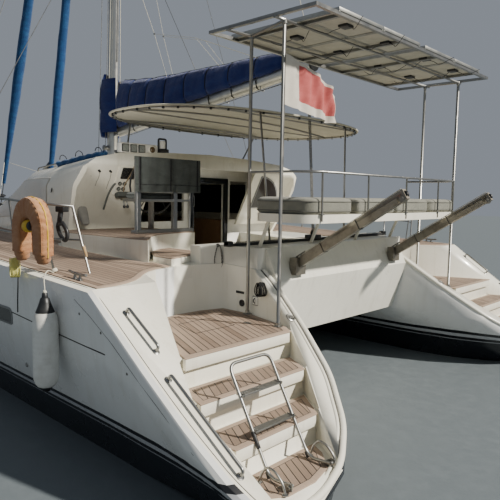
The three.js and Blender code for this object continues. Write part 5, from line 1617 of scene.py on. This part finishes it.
HALYARDS = ((0.02, 0.118, 3.1, 17.9), (-0.06, 0.112, 3.4, 16.2), (0.03, -0.118, 3.1, 17.9),
            (-0.05, -0.114, 3.3, 12.8), (0.10, 0.200, 3.05, 13.2))
for number, (dx, dy, low, high) in enumerate(HALYARDS):
    halyard = [(mast_x(z) + dx, dy * wide, z)
               for z, wide in ((low, 1.25), (low + 3, 1), ((low + high) / 2, 1), (high, 0.9))]
    line(f"halyard_{number}", halyard, 0.010, PALE_ROPE if number % 2 else FLECKED_ROPE, steps=10, sides=6)
track = [(mast_x(z) - 0.131, 0, z) for z in (5.0, 8.0, 11.0, 14.0, 17.8)]
tube("mast_track", track, 0.012, STEEL, sides=8)
small_winch = [(height * 0.75, radius * 0.75) for height, radius in WINCH]
for number, (side, z) in enumerate(((1, 3.35), (-1, 3.35), (1, 3.72), (-1, 3.72))):
    turned(f"mast_winch_{number}", small_winch, STEEL, (mast_x(z) + 0.02, side * 0.083, z), (0, side, 0))
turned("steaming_light", [(0, 0.030), (0.012, 0.045), (0.060, 0.045), (0.072, 0.030)], WHITE,
       (mast_x(8.0) + 0.150, 0, 7.95), (0, 0, 1), 18)
TRUCK = mast_x(18.6)
tube("aerial", [(TRUCK, 0.06, 18.58), (TRUCK, 0.06, 18.95)], 0.006, BLACK, sides=8)
tube("vane_arm", [(TRUCK + 0.22, -0.04, 18.76), (TRUCK - 0.16, -0.04, 18.76)], 0.005, BLACK, sides=6)
tube("vane_post", [(TRUCK, -0.04, 18.58), (TRUCK, -0.04, 18.76)], 0.006, BLACK, sides=6)
BOOT = even((0.045, 0.018), (0.030, 0.034), (0, 0.040))
for z, reach in ((8.400, 1.250), (13.300, 1.050)):
    for side, word in SIDES:
        tip = (mast_x(z) - 0.330, side * reach, z + 0.060)
        turned(f"spreader_boot_{word}_{int(z)}", BOOT, WHITE, tip, (0, 0, 1), 14)
print("halyards: 5")

# %% [markdown]
# The two headsails are rolled up on their stays. A rolled sail is a spiral: its sun strip winds round the
# roll, and each turn ends in a raised edge. The roll is turned with many rings, and each vertex then
# moves out by where it lies on the spiral.


# %% Rolled headsails
SAIL_RINGS = 120


def rolled_sail(node, name, low, high, radii, pitch):
    along = (high - low).normalized()
    length = (high - low).length
    rings = []
    for number in range(SAIL_RINGS + 1):
        share = number / SAIL_RINGS
        spot = share * (len(radii) - 1)
        before = min(int(spot), len(radii) - 2)
        part = spot - before
        part = part * part * (3 - 2 * part)
        rings.append((share * length, radii[before] * (1 - part) + radii[before + 1] * part))
    piece = turned(name, rings, TEAL, steps=22)
    for vertex in piece.data.vertices:
        x, y, z = vertex.co
        if z <= 0 or z >= length:
            continue
        wrap = (math.atan2(y, x) / (2 * math.pi) + z / pitch) % 1.0
        out = 1 + 0.075 * (wrap - 0.5) + 0.02 * math.sin(z * 7 + 3 * math.atan2(y, x))
        vertex.co = (x * out, y * out, z)
    place = Matrix.Translation(low) @ along.to_track_quat("Z", "Y").to_matrix().to_4x4()
    piece.data.transform(place)
    bpy.ops.object.shade_smooth_by_angle(angle=math.radians(50))
    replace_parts(piece, node)


SAIL_RADII = {"forestay_sail": [0.050, 0.115, 0.100, 0.090, 0.070, 0.034],
              "inner_stay_sail": [0.045, 0.095, 0.085, 0.075, 0.060, 0.030]}
STAYS = {"forestay_sail": ((6.050, 0, 2.086), 17.0, 0.04, 1.15, (2.2, 1.62, 2.36)),
         "inner_stay_sail": ((3.480, 0, 1.948), 15.9, 0.03, 1.0, (1.9, 1.35, 2.42))}
DRUM = [(0, 0.030), (0.004, 0.094), (0.014, 0.096), (0.018, 0.060), (0.026, 0.056), (0.090, 0.056),
        (0.096, 0.060), (0.100, 0.096), (0.110, 0.094), (0.114, 0.040)]
for node, (foot, top_z, start, pitch, lead) in STAYS.items():
    foot, head = Vector(foot), Vector((mast_x(top_z), 0, top_z))
    rolled_sail(node, f"{node}_roll", foot.lerp(head, start), foot.lerp(head, 0.93), SAIL_RADII[node], pitch)
    tube(f"{node}_foot", [foot, foot.lerp(head, 0.04)], 0.012, STEEL, sides=10)
    tube(f"{node}_head", [foot.lerp(head, share) for share in (0.925, 0.995)], 0.010, STEEL, sides=8)
    turned(f"{node}_drum", DRUM, BLACK, foot.lerp(head, 0.012), (head - foot).normalized(), 26)
    for side, word in SIDES:
        far = Vector((lead[0], side * lead[1], lead[2]))
        near = foot.lerp(head, start + 0.035) + Vector((-0.03, side * 0.07, 0))
        droop = (near + far) / 2 - Vector((0, 0, 0.05))
        line(f"{node}_sheet_{word}", [near, droop, far], 0.011, PALE_ROPE, steps=8, sides=6)
print("rolled headsails:", len(STAYS))

# %% [markdown]
# The bimini is one continuous sheet, stretched over three bows inside an oval rim. The canvas is crowned
# athwartships and dips slightly between the bows. Clips hold its hem to the frame's oval tube.

# %% Bimini canvas
OVAL_X, OVAL_LONG, OVAL_WIDE, OVAL_POWER = -2.950, 1.310, 2.150, 2.5
BOWS = (-3.950, -2.950, -1.950)


def oval_point(angle, grow=0.0, share=1.0):
    def along(value):
        return math.copysign(abs(value) ** (2 / OVAL_POWER), value)
    return (OVAL_X + (OVAL_LONG + grow) * share * along(math.cos(angle)),
            (OVAL_WIDE + grow) * share * along(math.sin(angle)))


def canopy_height(x, y, share):
    crown = 0.098 * (1 - share ** 2.2)
    between = min(abs(x - bow) for bow in BOWS)
    dip = 0.010 * math.sin(min(1, between / 0.5) * math.pi / 2) ** 2 * (1 - share ** 4)
    pucker = 0.004 * math.sin(math.atan2(y, x - OVAL_X) * 40) * share ** 8
    return 3.5285 + crown - dip + pucker


SPOKES, HOOPS = 88, 20
bpy.ops.object.select_all(action="DESELECT")
bpy.ops.mesh.primitive_circle_add(vertices=SPOKES, radius=1, fill_type="NGON")
canopy = bpy.context.object
bpy.ops.object.mode_set(mode="EDIT")
bpy.ops.mesh.select_mode(type="FACE")
bpy.ops.mesh.select_all(action="SELECT")
for hoop in range(HOOPS - 1):
    bpy.ops.mesh.inset(thickness=1 / HOOPS)
bpy.ops.mesh.poke()
bpy.ops.object.mode_set(mode="OBJECT")
for vertex in canopy.data.vertices:
    share = min(1.0, math.hypot(vertex.co.x, vertex.co.y))
    x, y = oval_point(math.atan2(vertex.co.y, vertex.co.x), 0.0, share)
    vertex.co = (x, y, canopy_height(x, y, share))
only(canopy)
bpy.ops.object.mode_set(mode="EDIT")
bpy.ops.mesh.select_all(action="SELECT")
bpy.ops.mesh.remove_doubles(threshold=0.0001)
bpy.ops.mesh.normals_make_consistent(inside=False)
bpy.ops.object.mode_set(mode="OBJECT")
applied(canopy, "SOLIDIFY", thickness=0.003, offset=0)
finished(canopy, "bimini_sheet", BEIGE, smooth=60)
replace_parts(canopy, "bimini_canvas")
hem = [(*oval_point(2 * math.pi * number / 96, -0.008), 3.528) for number in range(96)]
tube("bimini_hem", hem, 0.013, BEIGE, closed=True, sides=10)
clips = []
for number in range(44):
    turn = 2 * math.pi * (number + 0.5) / 44
    x, y = oval_point(turn, -0.045)
    clips.append(block("clip", (x - 0.013, y - 0.013, 3.488), (x + 0.013, y + 0.013, 3.532), BLACK, 0.005))
joined("bimini_clips", clips)
for number, bow in enumerate(BOWS):
    edge = abs((bow - OVAL_X) / OVAL_LONG) ** OVAL_POWER
    half = (OVAL_WIDE - 0.06) * (1 - edge) ** (1 / OVAL_POWER)
    arch = []
    for step in range(17):
        y = half * (step / 8 - 1)
        share = (edge + abs(y / OVAL_WIDE) ** OVAL_POWER) ** (1 / OVAL_POWER)
        arch.append((bow, y, canopy_height(bow, y, share) - 0.016))
    tube(f"bimini_bow_{number}", arch, 0.011, STEEL, sides=12)
    seam = [(x, y, z + 0.0155) for x, y, z in arch]
    tube(f"bimini_seam_{number}", seam, 0.003, BEIGE, sides=6)

# %% [markdown]
# On the port quarter hangs a horseshoe buoy in an aged orange cover. It starts as one bent tube, is
# flattened athwartships, remeshed, and gets soft wrinkles along its seams. Thin welts and one yellow
# stripe follow its curve, and a yellow float with a black end sits in its opening.

# %% Horseshoe buoy
BUOY_X, BUOY_Y, BUOY_ARC, BUOY_TOP, BUOY_END = -3.920, 3.868, 0.2125, 2.100, 1.880
BUOY_TUBE, BUOY_DEEP = 0.098, 0.074
arch = [(BUOY_X - BUOY_ARC, BUOY_Y, BUOY_END)]
for step in range(19):
    angle = math.pi * (1 - step / 18)
    arch.append((BUOY_X + BUOY_ARC * math.cos(angle), BUOY_Y, BUOY_TOP + BUOY_ARC * math.sin(angle)))
arch.append((BUOY_X + BUOY_ARC, BUOY_Y, BUOY_END))
buoy = tube("buoy_cover", arch, BUOY_TUBE, BUOY, sides=20)


def squared(value):
    """Turns a round section into one with flat sides and round corners."""
    return math.copysign(abs(value) ** 0.55, value)


for vertex in buoy.data.vertices:
    x, y, z = vertex.co
    if z > BUOY_TOP:
        radial = Vector((x - BUOY_X, 0, z - BUOY_TOP))
        off = (radial.length - BUOY_ARC) / BUOY_TUBE
        place = Vector((BUOY_X, 0, BUOY_TOP)) + radial.normalized() * (BUOY_ARC + BUOY_TUBE * squared(off))
    else:
        middle = math.copysign(BUOY_ARC, x - BUOY_X)
        place = Vector((BUOY_X + middle + BUOY_TUBE * squared((x - BUOY_X - middle) / BUOY_TUBE), 0, z))
    vertex.co = (place.x, BUOY_Y + BUOY_DEEP * squared((y - BUOY_Y) / BUOY_TUBE), place.z)
NOSE = [(-0.090, 0.030), (-0.078, 0.062), (-0.050, 0.086), (0.0, 0.096), (0.02, 0.096)]
for end in (-1, 1):
    nose = turned("nose", NOSE, BUOY, (BUOY_X + end * BUOY_ARC, BUOY_Y, BUOY_END), (0, 0, 1), 24)
    for vertex in nose.data.vertices:
        vertex.co.y = BUOY_Y + (vertex.co.y - BUOY_Y) * 0.74
    buoy = joined("buoy_cover", [buoy, nose])
remeshed(buoy, 0.014)
for vertex in buoy.data.vertices:
    x, y, z = vertex.co
    turn = math.atan2(z - BUOY_TOP, x - BUOY_X) if z > BUOY_TOP else z * 5
    wrinkle = 0.0035 * math.sin(turn * 26 + y * 40) + 0.004 * fold(turn * 5.5, 8)
    vertex.co += vertex.normal * wrinkle
applied(buoy, "SMOOTH", iterations=2)
bpy.ops.object.shade_smooth()
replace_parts(buoy, "horseshoe_buoy")
YELLOW = moulded("yellow_vinyl", "buoy_cover", shade(214, 176, 40), shade(180, 150, 60), 0.45)
ribs = []
for side in (-1, 0, 1):
    paths = [(BUOY_ARC + 0.096, YELLOW if side == 0 else BUOY)]
    if side:
        paths.append((BUOY_ARC - 0.088, BUOY))
    for reach, paint in paths:
        path = [Vector((BUOY_X - reach, BUOY_Y, 1.86))]
        path += [Vector((BUOY_X + reach * math.cos(math.pi * (1 - s / 16)), BUOY_Y,
                         BUOY_TOP + reach * math.sin(math.pi * (1 - s / 16)))) for s in range(17)]
        path.append(Vector((BUOY_X + reach, BUOY_Y, 1.86)))
        spots = []
        for place in path:
            _, spot, normal, _ = buoy.closest_point_on_mesh(place + Vector((0, side * 0.066, 0)))
            spots.append(spot + normal * 0.001)
        rib = tube("rib", spots, 0.0065 if side == 0 else 0.0035, paint, sides=8)
        if side:
            ribs.append(rib)
        else:
            rib.name = "buoy_stripe"
joined("buoy_welts", ribs)
FLOAT, FLOAT_AXIS = (-3.905, 3.885, 2.136), (-0.97, 0.10, 0.05)
FLOAT_BODY = [(-0.075, 0.030), (-0.066, 0.050), (-0.040, 0.060), (0.030, 0.060), (0.050, 0.050)]
FLOAT_END = [(0.040, 0.050), (0.052, 0.046), (0.080, 0.040), (0.088, 0.026)]
turned("buoy_float", FLOAT_BODY, YELLOW, FLOAT, FLOAT_AXIS)
turned("buoy_float_end", FLOAT_END, BLACK, FLOAT, FLOAT_AXIS)

# %% Clamp, strap and tape on the stern rail
block("rail_clamp", (-3.880, 3.460, 2.262), (-3.790, 3.570, 2.322), BLACK, 0.010, lean=(0, 0, 30))
strap = [(-3.850, 3.535, 2.270), (-3.852, 3.548, 2.205), (-3.856, 3.560, 2.130)]
line("clamp_strap", strap, 0.052, BLACK, sides=10)
loop = [(-3.865, 3.560, 2.175), (-3.830, 3.560, 2.120), (-3.855, 3.555, 2.050), (-3.905, 3.555, 2.010),
        (-3.960, 3.555, 1.990), (-4.000, 3.555, 2.020), (-3.995, 3.555, 2.080), (-3.955, 3.560, 2.130),
        (-3.910, 3.560, 2.165)]
line("clamp_loop", loop, 0.040, BLACK, sides=10)
TAPE = moulded("tan_tape", "beige_canvas", shade(176, 146, 104), shade(200, 176, 140), 0.7)
rail_low, rail_up = Vector((-4.060, 3.350, 1.700)), Vector((-4.010, 3.500, 2.320))
turned("rail_tape", [(0, 0.0140), (0.003, 0.0162), (0.110, 0.0165), (0.113, 0.0140)], TAPE,
       rail_low.lerp(rail_up, 0.20), rail_up - rail_low, 18)
print("buoy hangs at", BUOY_X, BUOY_Y)

# %% [markdown]
# The canvas behind the helm seat hangs over the head rail: it comes up from in front, turns over the
# rail, falls down behind and ends in a sewn valance. The seat itself is a swollen cushion with a welt.

# %% Helm canvas
SEAT_RAIL_Z, CANVAS_X = 2.936, -2.9565
WIDE, DROP, OVER = 1.112, 0.455, 0.050
VALANCE_Z, CANVAS_LOW = 2.575, 2.482


def canvas_point(u, v):
    """u runs across from port, and v down the cloth from its front edge."""
    y = 2.026 - WIDE * u
    run = v * (DROP + 2 * OVER)
    slack = 0.0045 * math.sin(u * 23) * min(1.0, run / 0.25) + 0.003 * math.sin(u * 51 + v * 3) * v
    if run < OVER:
        x, z = CANVAS_X + 0.024, SEAT_RAIL_Z - 0.036 + (run / OVER) * 0.036
    elif run < 1.5 * OVER:
        share = (run - OVER) / (0.5 * OVER)
        x = CANVAS_X + 0.012 + 0.012 * math.cos(math.pi * share)
        z = SEAT_RAIL_Z + 0.005 * math.sin(math.pi * share)
    else:
        x, z = CANVAS_X + slack, SEAT_RAIL_Z - (run - 1.5 * OVER) * 0.945
        if z < VALANCE_Z:
            x -= 0.004 + 0.005 * math.sin(u * 37)
    sag = 0.006 * math.sin(u * math.pi * 3) * v
    return x, y, max(z - sag, CANVAS_LOW)


canvas = grid(64, 40)
for vertex in canvas.data.vertices:
    vertex.co = canvas_point(vertex.co.x + 0.5, 0.5 - vertex.co.y)
finished(canvas, "helm_canvas_sheet", DARK, smooth=60)
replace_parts(canvas, "helm_canvas")
across = [canvas_point(share / 40, 0)[1] for share in range(41)]
piping = [(CANVAS_X - 0.006, y, VALANCE_Z + 0.005 - 0.003 * math.sin(y * 8)) for y in across]
tube("helm_canvas_piping", piping, 0.005, BLACK_ROPE, sides=6)
for number, y in enumerate((1.965, 1.455, 0.975)):
    spots = [(CANVAS_X - 0.010, y, z) for z in (2.930, 2.80, 2.65, 2.575, 2.500)]
    strap = line(f"canvas_strap_{number}", spots, 0.006, BLACK_ROPE, sides=8)
    for vertex in strap.data.vertices:
        vertex.co.y = y + (vertex.co.y - y) * 4.5

# %% Helm seat cushion
pad_shape = [(x, y) for x, y, _ in ring_round((-2.853, 1.218), (-2.582, 1.942), 0.045, 0)]
pad = plate("helm_pad", pad_shape, 2.3915, 2.466, DARK, 0.020)
swollen(pad, 0.019, 0.010)
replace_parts(pad, "helm_cushion")
piped("helm_pad_welt", pad, ring_round((-2.875, 1.195), (-2.560, 1.965), 0.05, 2.447), 0.0045, BLACK_ROPE)
POST_FOOT = [(1.934, 0.055), (1.942, 0.055), (1.948, 0.044), (1.952, 0.036)]
for number, y in enumerate((1.950, 1.340, 1.060)):
    turned(f"seat_post_foot_{number}", POST_FOOT, STEEL, (-2.900, y, 0), steps=22)
print("helm canvas of", WIDE, "x", DROP + 2 * OVER, "m")

# %% [markdown]
# A ray cast over the whole scene finds the deck under any point, so that each fitting stands on what is
# there. The hatches are glass lids in grey frames, the cleats two posts under one horn, and the rails bent
# tubes.


# %% Fittings that stand on deck
def surface(x, y, top=FAR_OUT):
    """The uppermost surface under x and y below a height, and the way that it faces."""
    view = bpy.context.evaluated_depsgraph_get()
    _, place, normal, _, _, _ = bpy.context.scene.ray_cast(view, (x, y, top), (0, 0, -1))
    return place, normal


def lay(piece, place, up):
    """Lays a piece that was made flat at the origin on a surface."""
    up = Vector(up).normalized()
    ahead_here = Vector((1, 0, 0)) - up * up.x
    ahead_here.normalize()
    axes = Matrix((ahead_here, up.cross(ahead_here), up)).transposed().to_4x4()
    piece.data.transform(Matrix.Translation(place) @ axes)


def hatch(name, x, y, half_long, half_wide):
    place, up = surface(x, y)
    lid = plate(name, round_rect(half_long, half_wide, 0.07), -0.006, 0.022, FRAME_GREY, 0.004,
                inlay=[(0.026, GLASS)])
    lay(lid, place, up)
    handles = [block("handle", (reach, -0.022, 0.022), (reach + 0.05, 0.022, 0.034), BLACK, 0.004)
               for reach in (-half_long * 0.62, half_long * 0.5)]
    lay(joined(f"{name}_handles", handles), place, up)


for side, word in SIDES:
    hatch(f"roof_hatch_{word}", 0.95, side * 1.02, 0.26, 0.26)
    hatch(f"roof_hatch_aft_{word}", -0.85, side * 1.12, 0.24, 0.24)
    hatch(f"side_hatch_{word}", 1.05, side * 2.92, 0.24, 0.17)
    hatch(f"bow_hatch_{word}", 4.55, side * 2.78, 0.27, 0.27)
    hatch(f"locker_hatch_{word}", 5.55, side * 2.85, 0.22, 0.20)


CLEAT_POST = [(-0.004, 0.020), (0.012, 0.017), (0.034, 0.013), (0.044, 0.014)]
CLEAT_HORN = [(x, 0, z) for x, z in even((0.150, 0.060), (0.085, 0.052), (0, 0.048))]


def cleat(name, x, y, top):
    place, up = surface(x, y, top)
    posts = [turned("post", CLEAT_POST, STEEL, (reach, 0, 0), steps=14) for reach in (-0.045, 0.045)]
    horn = tube("horn", CLEAT_HORN, 0.013, STEEL, sides=12)
    base = plate("base", round_rect(0.085, 0.026, 0.024), -0.003, 0.004, STEEL, 0.001)
    lay(joined(name, [horn, base, *posts]), place, up)


for side, word in SIDES:
    cleat(f"cleat_stern_{word}", -4.30, side * 3.62, 2.0)
    cleat(f"cleat_middle_{word}", -0.30, side * 3.66, 2.0)
    cleat(f"cleat_bow_{word}", 5.05, side * 3.05, 2.3)
    near, _ = surface(0.60, side * 1.60)
    far, _ = surface(-0.30, side * 1.60)
    route = [near, near + Vector((-0.03, 0, 0.065)), far + Vector((0.05, 0, 0.065)), far]
    tube(f"roof_rail_{word}", route, 0.0125, STEEL, 0.06, sides=14)
print("hatches: 10, cleats: 6")

# %% A rolled side curtain on the roof's edge
roll = []
for x, y in ((-1.98, 1.84), (-1.80, 1.88), (-1.56, 1.93), (-1.32, 1.97), (-1.12, 2.00), (-0.98, 2.03)):
    place, up = surface(x, y)
    roll.append(place + up * 0.036)
curtain = line("roof_roll", roll, 0.082, TEAL, sides=20)
for vertex in curtain.data.vertices:
    vertex.co += vertex.normal * 0.007 * math.sin(vertex.co.x * 31 + vertex.co.z * 60 + vertex.co.y * 80)
for number, (x, y) in enumerate(((-1.84, 1.873), (-1.44, 1.950), (-1.08, 2.010))):
    place, up = surface(x, y)
    across = Vector((0, up.z, -up.y))
    spots = [place + across * out + up * rise for out, rise in (
        (-0.065, 0.0), (-0.048, 0.060), (0.0, 0.086), (0.048, 0.060), (0.065, 0.0))]
    tube(f"roll_tie_{number}", spots, 0.006, BLACK_ROPE, 0.02, sides=8)

# %% [markdown]
# The saloon's aft wall has an arched dark window to starboard in a grey frame. White linings stand
# inside the doorway, clear of the sliding door, and the door carries a handle.

# %% Saloon openings
arch_shape = [(-0.44, -0.33)]
arch_shape += [(-0.44 + 0.70 * math.sin(math.pi * s / 20), -0.33 + 0.66 * math.cos(math.pi * s / 20))
               for s in range(11)]
window = plate("aft_window", arch_shape, -0.004, 0.012, FRAME_GREY, 0.003, inlay=[(0.028, GLASS)])
on_wall(window, -1.735, 2.520)
for word, y in (("port", -0.172), ("starboard", -0.978)):
    block(f"jamb_{word}", (-1.497, y - 0.020, 1.180), (-1.440, y + 0.020, 2.715), WHITE, 0.006)
grip = [(x, -0.200, z) for x, z in ((-1.515, 2.250), (-1.545, 2.260), (-1.545, 2.440), (-1.515, 2.450))]
tube("door_handle", grip, 0.008, STEEL, 0.02, "saloon_door")
print("aft window and jambs set")

# %% [markdown]
# The long side windows wear fitted sun covers of pale cloth, so the roof's sides look plain from
# outside. Each cover is one sheet that is laid on the wall and then pulled taut over the windows.

# %% Sun covers on the side windows
PALE_COVER = cloth("sun_cover", "beige_canvas", shade(222, 221, 214), shade(232, 230, 222), 0.003)
panes = bpy.data.objects["window_panes_skin"]
COVER_X, COVER_Z = (-1.180, 1.380), (2.070, 2.670)
COVER_COLS, COVER_ROWS, COVER_ROUNDS = 60, 18, 200


def wall_side(x, z, side):
    found = []
    for piece in (roof, panes):
        hit, place, _, _ = piece.ray_cast((x, side * FAR_OUT, z), (0, -side, 0))
        if hit:
            found.append(abs(place.y))
    return max(found)


def pulled_taut(under):
    """Each knot moves to the mean of its four neighbours, but never into the wall under it."""
    knots = dict(under)
    inner = [(col, row) for col in range(1, COVER_COLS) for row in range(1, COVER_ROWS)]
    for _ in range(COVER_ROUNDS):
        for col, row in inner:
            total = knots[col - 1, row] + knots[col + 1, row] + knots[col, row - 1] + knots[col, row + 1]
            knots[col, row] = max(under[col, row], total / 4)
    return knots


def on_cover(across, up):
    """The x and z of a point of the cover, whose edges drop a little toward the bow."""
    x = COVER_X[0] + (COVER_X[1] - COVER_X[0]) * across
    return x, COVER_Z[0] + (COVER_Z[1] - COVER_Z[0]) * up - 0.05 * max(0, x) ** 1.5


for side, word in SIDES:
    cover_here = grid(COVER_COLS, COVER_ROWS)
    cells, under = [], {}
    for vertex in cover_here.data.vertices:
        across, up = vertex.co.x + 0.5, vertex.co.y + 0.5
        cells.append((round(across * COVER_COLS), round(up * COVER_ROWS)))
        x, z = on_cover(across, up)
        vertex.co = (x, 0, z)
        under[cells[-1]] = wall_side(x, z, side) + 0.009
    outward = pulled_taut(under)
    for vertex, cell in zip(cover_here.data.vertices, cells):
        vertex.co.y = side * outward[cell]
    finished(cover_here, f"sun_cover_{word}", PALE_COVER, smooth=80)
    cover_area = sum(face.area for face in cover_here.data.polygons)
    for level in (0, 1):
        edge = [on_cover(step / 20, level) for step in range(21)]
        path = [(x, side * (wall_side(x, z, side) + 0.010), z) for x, z in edge]
        tube(f"sun_cover_hem_{word}_{level}", path, 0.006, PALE_COVER, sides=8)
# Painted shade: a thin dark block on the cover stands for the shade inside a slit in the roof's side.
place = Vector((-1.36, wall_side(-1.36, 2.50, 1) + 0.004, 2.50))
block("roof_side_slit", place - Vector((0.016, 0.004, 0.050)), place + Vector((0.016, 0.004, 0.050)), CAULK_AND_PAINTED_SHADE,
      0.003, lean=(22, 24, 0))
print("sun cover area", round(cover_area, 3), "of", round(2.58 * 0.66, 3))

# %% [markdown]
# Between the bows a net is laced under tension from beam to bridgedeck. It is a grid of real strands: a
# plane grid is laid into the opening, and each of its edges becomes a thin strand. Taut lacing ties its
# hem to the hulls.

# %% Trampoline nets
NET_PAINT = cloth("net_cord", "netting", shade(34, 35, 37), shade(92, 92, 88), 0.004)
NET_EDGE = [(3.700, 1.590), (4.900, 2.085), (6.040, 2.480)]


def net_outer(x):
    for (x0, y0), (x1, y1) in zip(NET_EDGE, NET_EDGE[1:]):
        if x <= x1:
            return y0 + (y1 - y0) * (x - x0) / (x1 - x0)
    return NET_EDGE[-1][1]


def net_height(x, share):
    sag = 0.004 * math.sin(math.pi * (x - 3.7) / 2.34) * math.sin(math.pi * share)
    return 1.620 + 0.04 * (x + 4.8) - 0.067 - sag


net = grid(44, 38)
for vertex in net.data.vertices:
    x, share = 3.704 + 2.334 * (vertex.co.x + 0.5), vertex.co.y + 0.5
    vertex.co = (x, 0.016 + (net_outer(x) - 0.016) * share, net_height(x, share))
applied(net, "WIREFRAME", thickness=0.006, use_even_offset=False, use_replace=True)
finished(net, "trampoline_net", NET_PAINT, smooth=30)
hem = [(3.700, 0.012), *NET_EDGE, (6.040, 0.012)]
hem = tube("net_hem", [(x, y, net_height(x, 0)) for x, y in hem], 0.008, NET_PAINT, closed=True, sides=8)
lacing = []
for number in range(45):
    x = 3.72 + 2.30 * number / 44
    reach, rise = (0, 0) if number % 2 else (0.052, 0.012)
    lacing.append((x, net_outer(x) + reach, net_height(x, 0) + rise))
lacing = tube("net_lacing", lacing, 0.004, PALE_ROPE, sides=6)
for piece in (net, hem, lacing):
    port, starboard = both_sides(piece)
    if "trampoline_net" in port.name:
        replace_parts(port, "trampoline_port")
        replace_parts(starboard, "trampoline_starboard")
print("net strands:", len(port.data.polygons))

# %% [markdown]
# Between the bows are a windlass with its chain and a bow roller with its anchor. Stanchion bases stand
# all along the deck edge.

# %% Bow and deck edge
place, up = surface(3.30, 0.0, 3.0)
base = plate("windlass_base", round_rect(0.17, 0.13, 0.04), 0, 0.022, STEEL, 0.004)
lay(base, place, up)
CAPSTAN = [(0.020, 0.062), (0.060, 0.062), (0.066, 0.092), (0.084, 0.092), (0.094, 0.060), (0.118, 0.060),
           (0.128, 0.090), (0.146, 0.088), (0.156, 0.050), (0.164, 0.030)]
lay(turned("windlass_drum", CAPSTAN, STEEL, steps=26), place, up)
roller = block("bow_roller", (5.990, -0.048, 2.078), (6.330, 0.048, 2.094), STEEL, 0.004)
cheeks = [block("cheek", (6.010, y - 0.004, 2.050), (6.330, y + 0.004, 2.150), STEEL, 0.003)
          for y in (-0.050, 0.050)]
joined("bow_roller", [roller, *cheeks])
ROLLER = even((0.038, 0.040), (0.030, 0.042), (0, 0.022))
turned("roller_wheel", ROLLER, BLACK, (6.290, 0, 2.124), (0, 1, 0))
LINKS = 52
chain = []
start, end = place + Vector((0.09, 0, 0.075)), Vector((6.05, 0, 2.110))
along = (end - start).normalized()
for number in range(LINKS):
    share = number / (LINKS - 1)
    here = start.lerp(end, share) - Vector((0, 0, 0.012 * math.sin(math.pi * share)))
    across = Vector((0, 1, 0)) if number % 2 else Vector((0, 0, 1))
    ring = [here + along * 0.036 * math.cos(turn) + across * 0.019 * math.sin(turn)
            for turn in (2 * math.pi * s / 10 for s in range(10))]
    chain.append(tube("link", ring, 0.0055, STEEL, closed=True, sides=6))
joined("anchor_chain", chain)
SHANK = [(6.06, 0, 2.128), (6.30, 0, 2.140), (6.46, 0, 2.060), (6.52, 0, 1.930)]
shank = tube("shank", SHANK, 0.016, ALLOY, 0.08)
flukes = []
for side in (1, -1):
    fluke = plate("fluke", [(6.300, side * 0.004), (6.560, side * 0.004), (6.500, side * 0.170),
                            (6.380, side * 0.120)], 1.905, 1.917, ALLOY, 0.003)
    for vertex in fluke.data.vertices:
        vertex.co.z += 0.22 * abs(vertex.co.y) - 0.20 * (6.52 - vertex.co.x)
    flukes.append(fluke)
joined("anchor", [shank, *flukes])
STANCHION_BASE = [(0, 0.036), (0.008, 0.036), (0.013, 0.026), (0.050, 0.020)]
STATIONS = [(4.700, 3.390), (3.200, 3.600), (1.700, 3.710), (0.200, 3.745), (-1.200, 3.745)]
for side, word in SIDES:
    bases = []
    for x, y in STATIONS:
        place, up = surface(x + 0.035, side * y, 2.05)
        at = (x, side * y, place.z - 0.002)
        bases.append(turned("base", STANCHION_BASE, STEEL, at, steps=18))
    joined(f"stanchion_bases_{word}", bases)
print("anchor chain links:", LINKS)

# %% [markdown]
# Small things on the topside: three plugs over fasteners, a fine moulded line down the quarter drawn as a
# thin grey tube of painted shade, and skin fittings above the water.

# %% Topside details
PLUG = [(-0.002, 0.012), (0.0015, 0.012), (0.002, 0.008)]
FITTING = [(-0.004, 0.026), (0.005, 0.025), (0.009, 0.018), (0.002, 0.012)]
MOULDING_SHADE_LINE = [(-4.55, 1.52), (-4.80, 1.40), (-5.10, 1.24), (-5.45, 1.02), (-5.80, 0.80), (-6.10, 0.60)]
for number, (x, z) in enumerate(((-4.62, 1.40), (-4.96, 1.29), (-5.32, 1.02))):
    turned(f"plug_{number}", PLUG, GROOVE_SHADE_AND_PLUG_GREY, outboard(x, z), (0, 1, 0.05), 14)
for side, word in SIDES:
    # Painted shade: a grey tube runs along the moulded line.
    along_hull(f"moulding_{word}", MOULDING_SHADE_LINE, 0.0030, GROOVE_SHADE_AND_PLUG_GREY, 0.3, word)
    for number, (x, z) in enumerate(((-3.30, 0.62), (0.40, 0.66), (2.60, 0.70))):
        spot = outboard(x, z, 0.0, word)
        turned(f"skin_fitting_{word}_{number}", FITTING, STEEL, spot, (0, side, 0.1), 18)

# %% [markdown]
# A dark joint line runs round the hatch in each landing. The propellers get a zinc anode each.

# %% Landing hatches and anodes
LANDING_HATCH = [(-4.975, 2.75), (-4.975, 2.20), (-4.560, 2.20), (-4.560, 2.62)]
outline = [(x, y, 1.1105) for x, y in LANDING_HATCH]
both_sides(tube("landing_hatch_line", outline, 0.0035, CAULK_AND_PAINTED_SHADE, 0.03, closed=True, sides=6))
ZINC = metal("zinc", "bronze", shade(150, 150, 148), shade(210, 208, 200), 0.6, 0.2, 0.8)
ANODE = [(0, 0.036), (0.018, 0.034), (0.040, 0.022), (0.048, 0.010)]
for side, word in SIDES:
    at = (-4.150, side * 2.735, -0.720)
    turned(f"anode_{word}", ANODE, ZINC, at, (-1, 0, 0), 18, f"propeller_{word}")
print("details done")

# %% [markdown]
# The last cell lists the CAD nodes that no piece stands for.

# %% CAD nodes left plain
for node, source in nodes.items():
    if not source.hide_render:
        print("plain CAD node:", node)
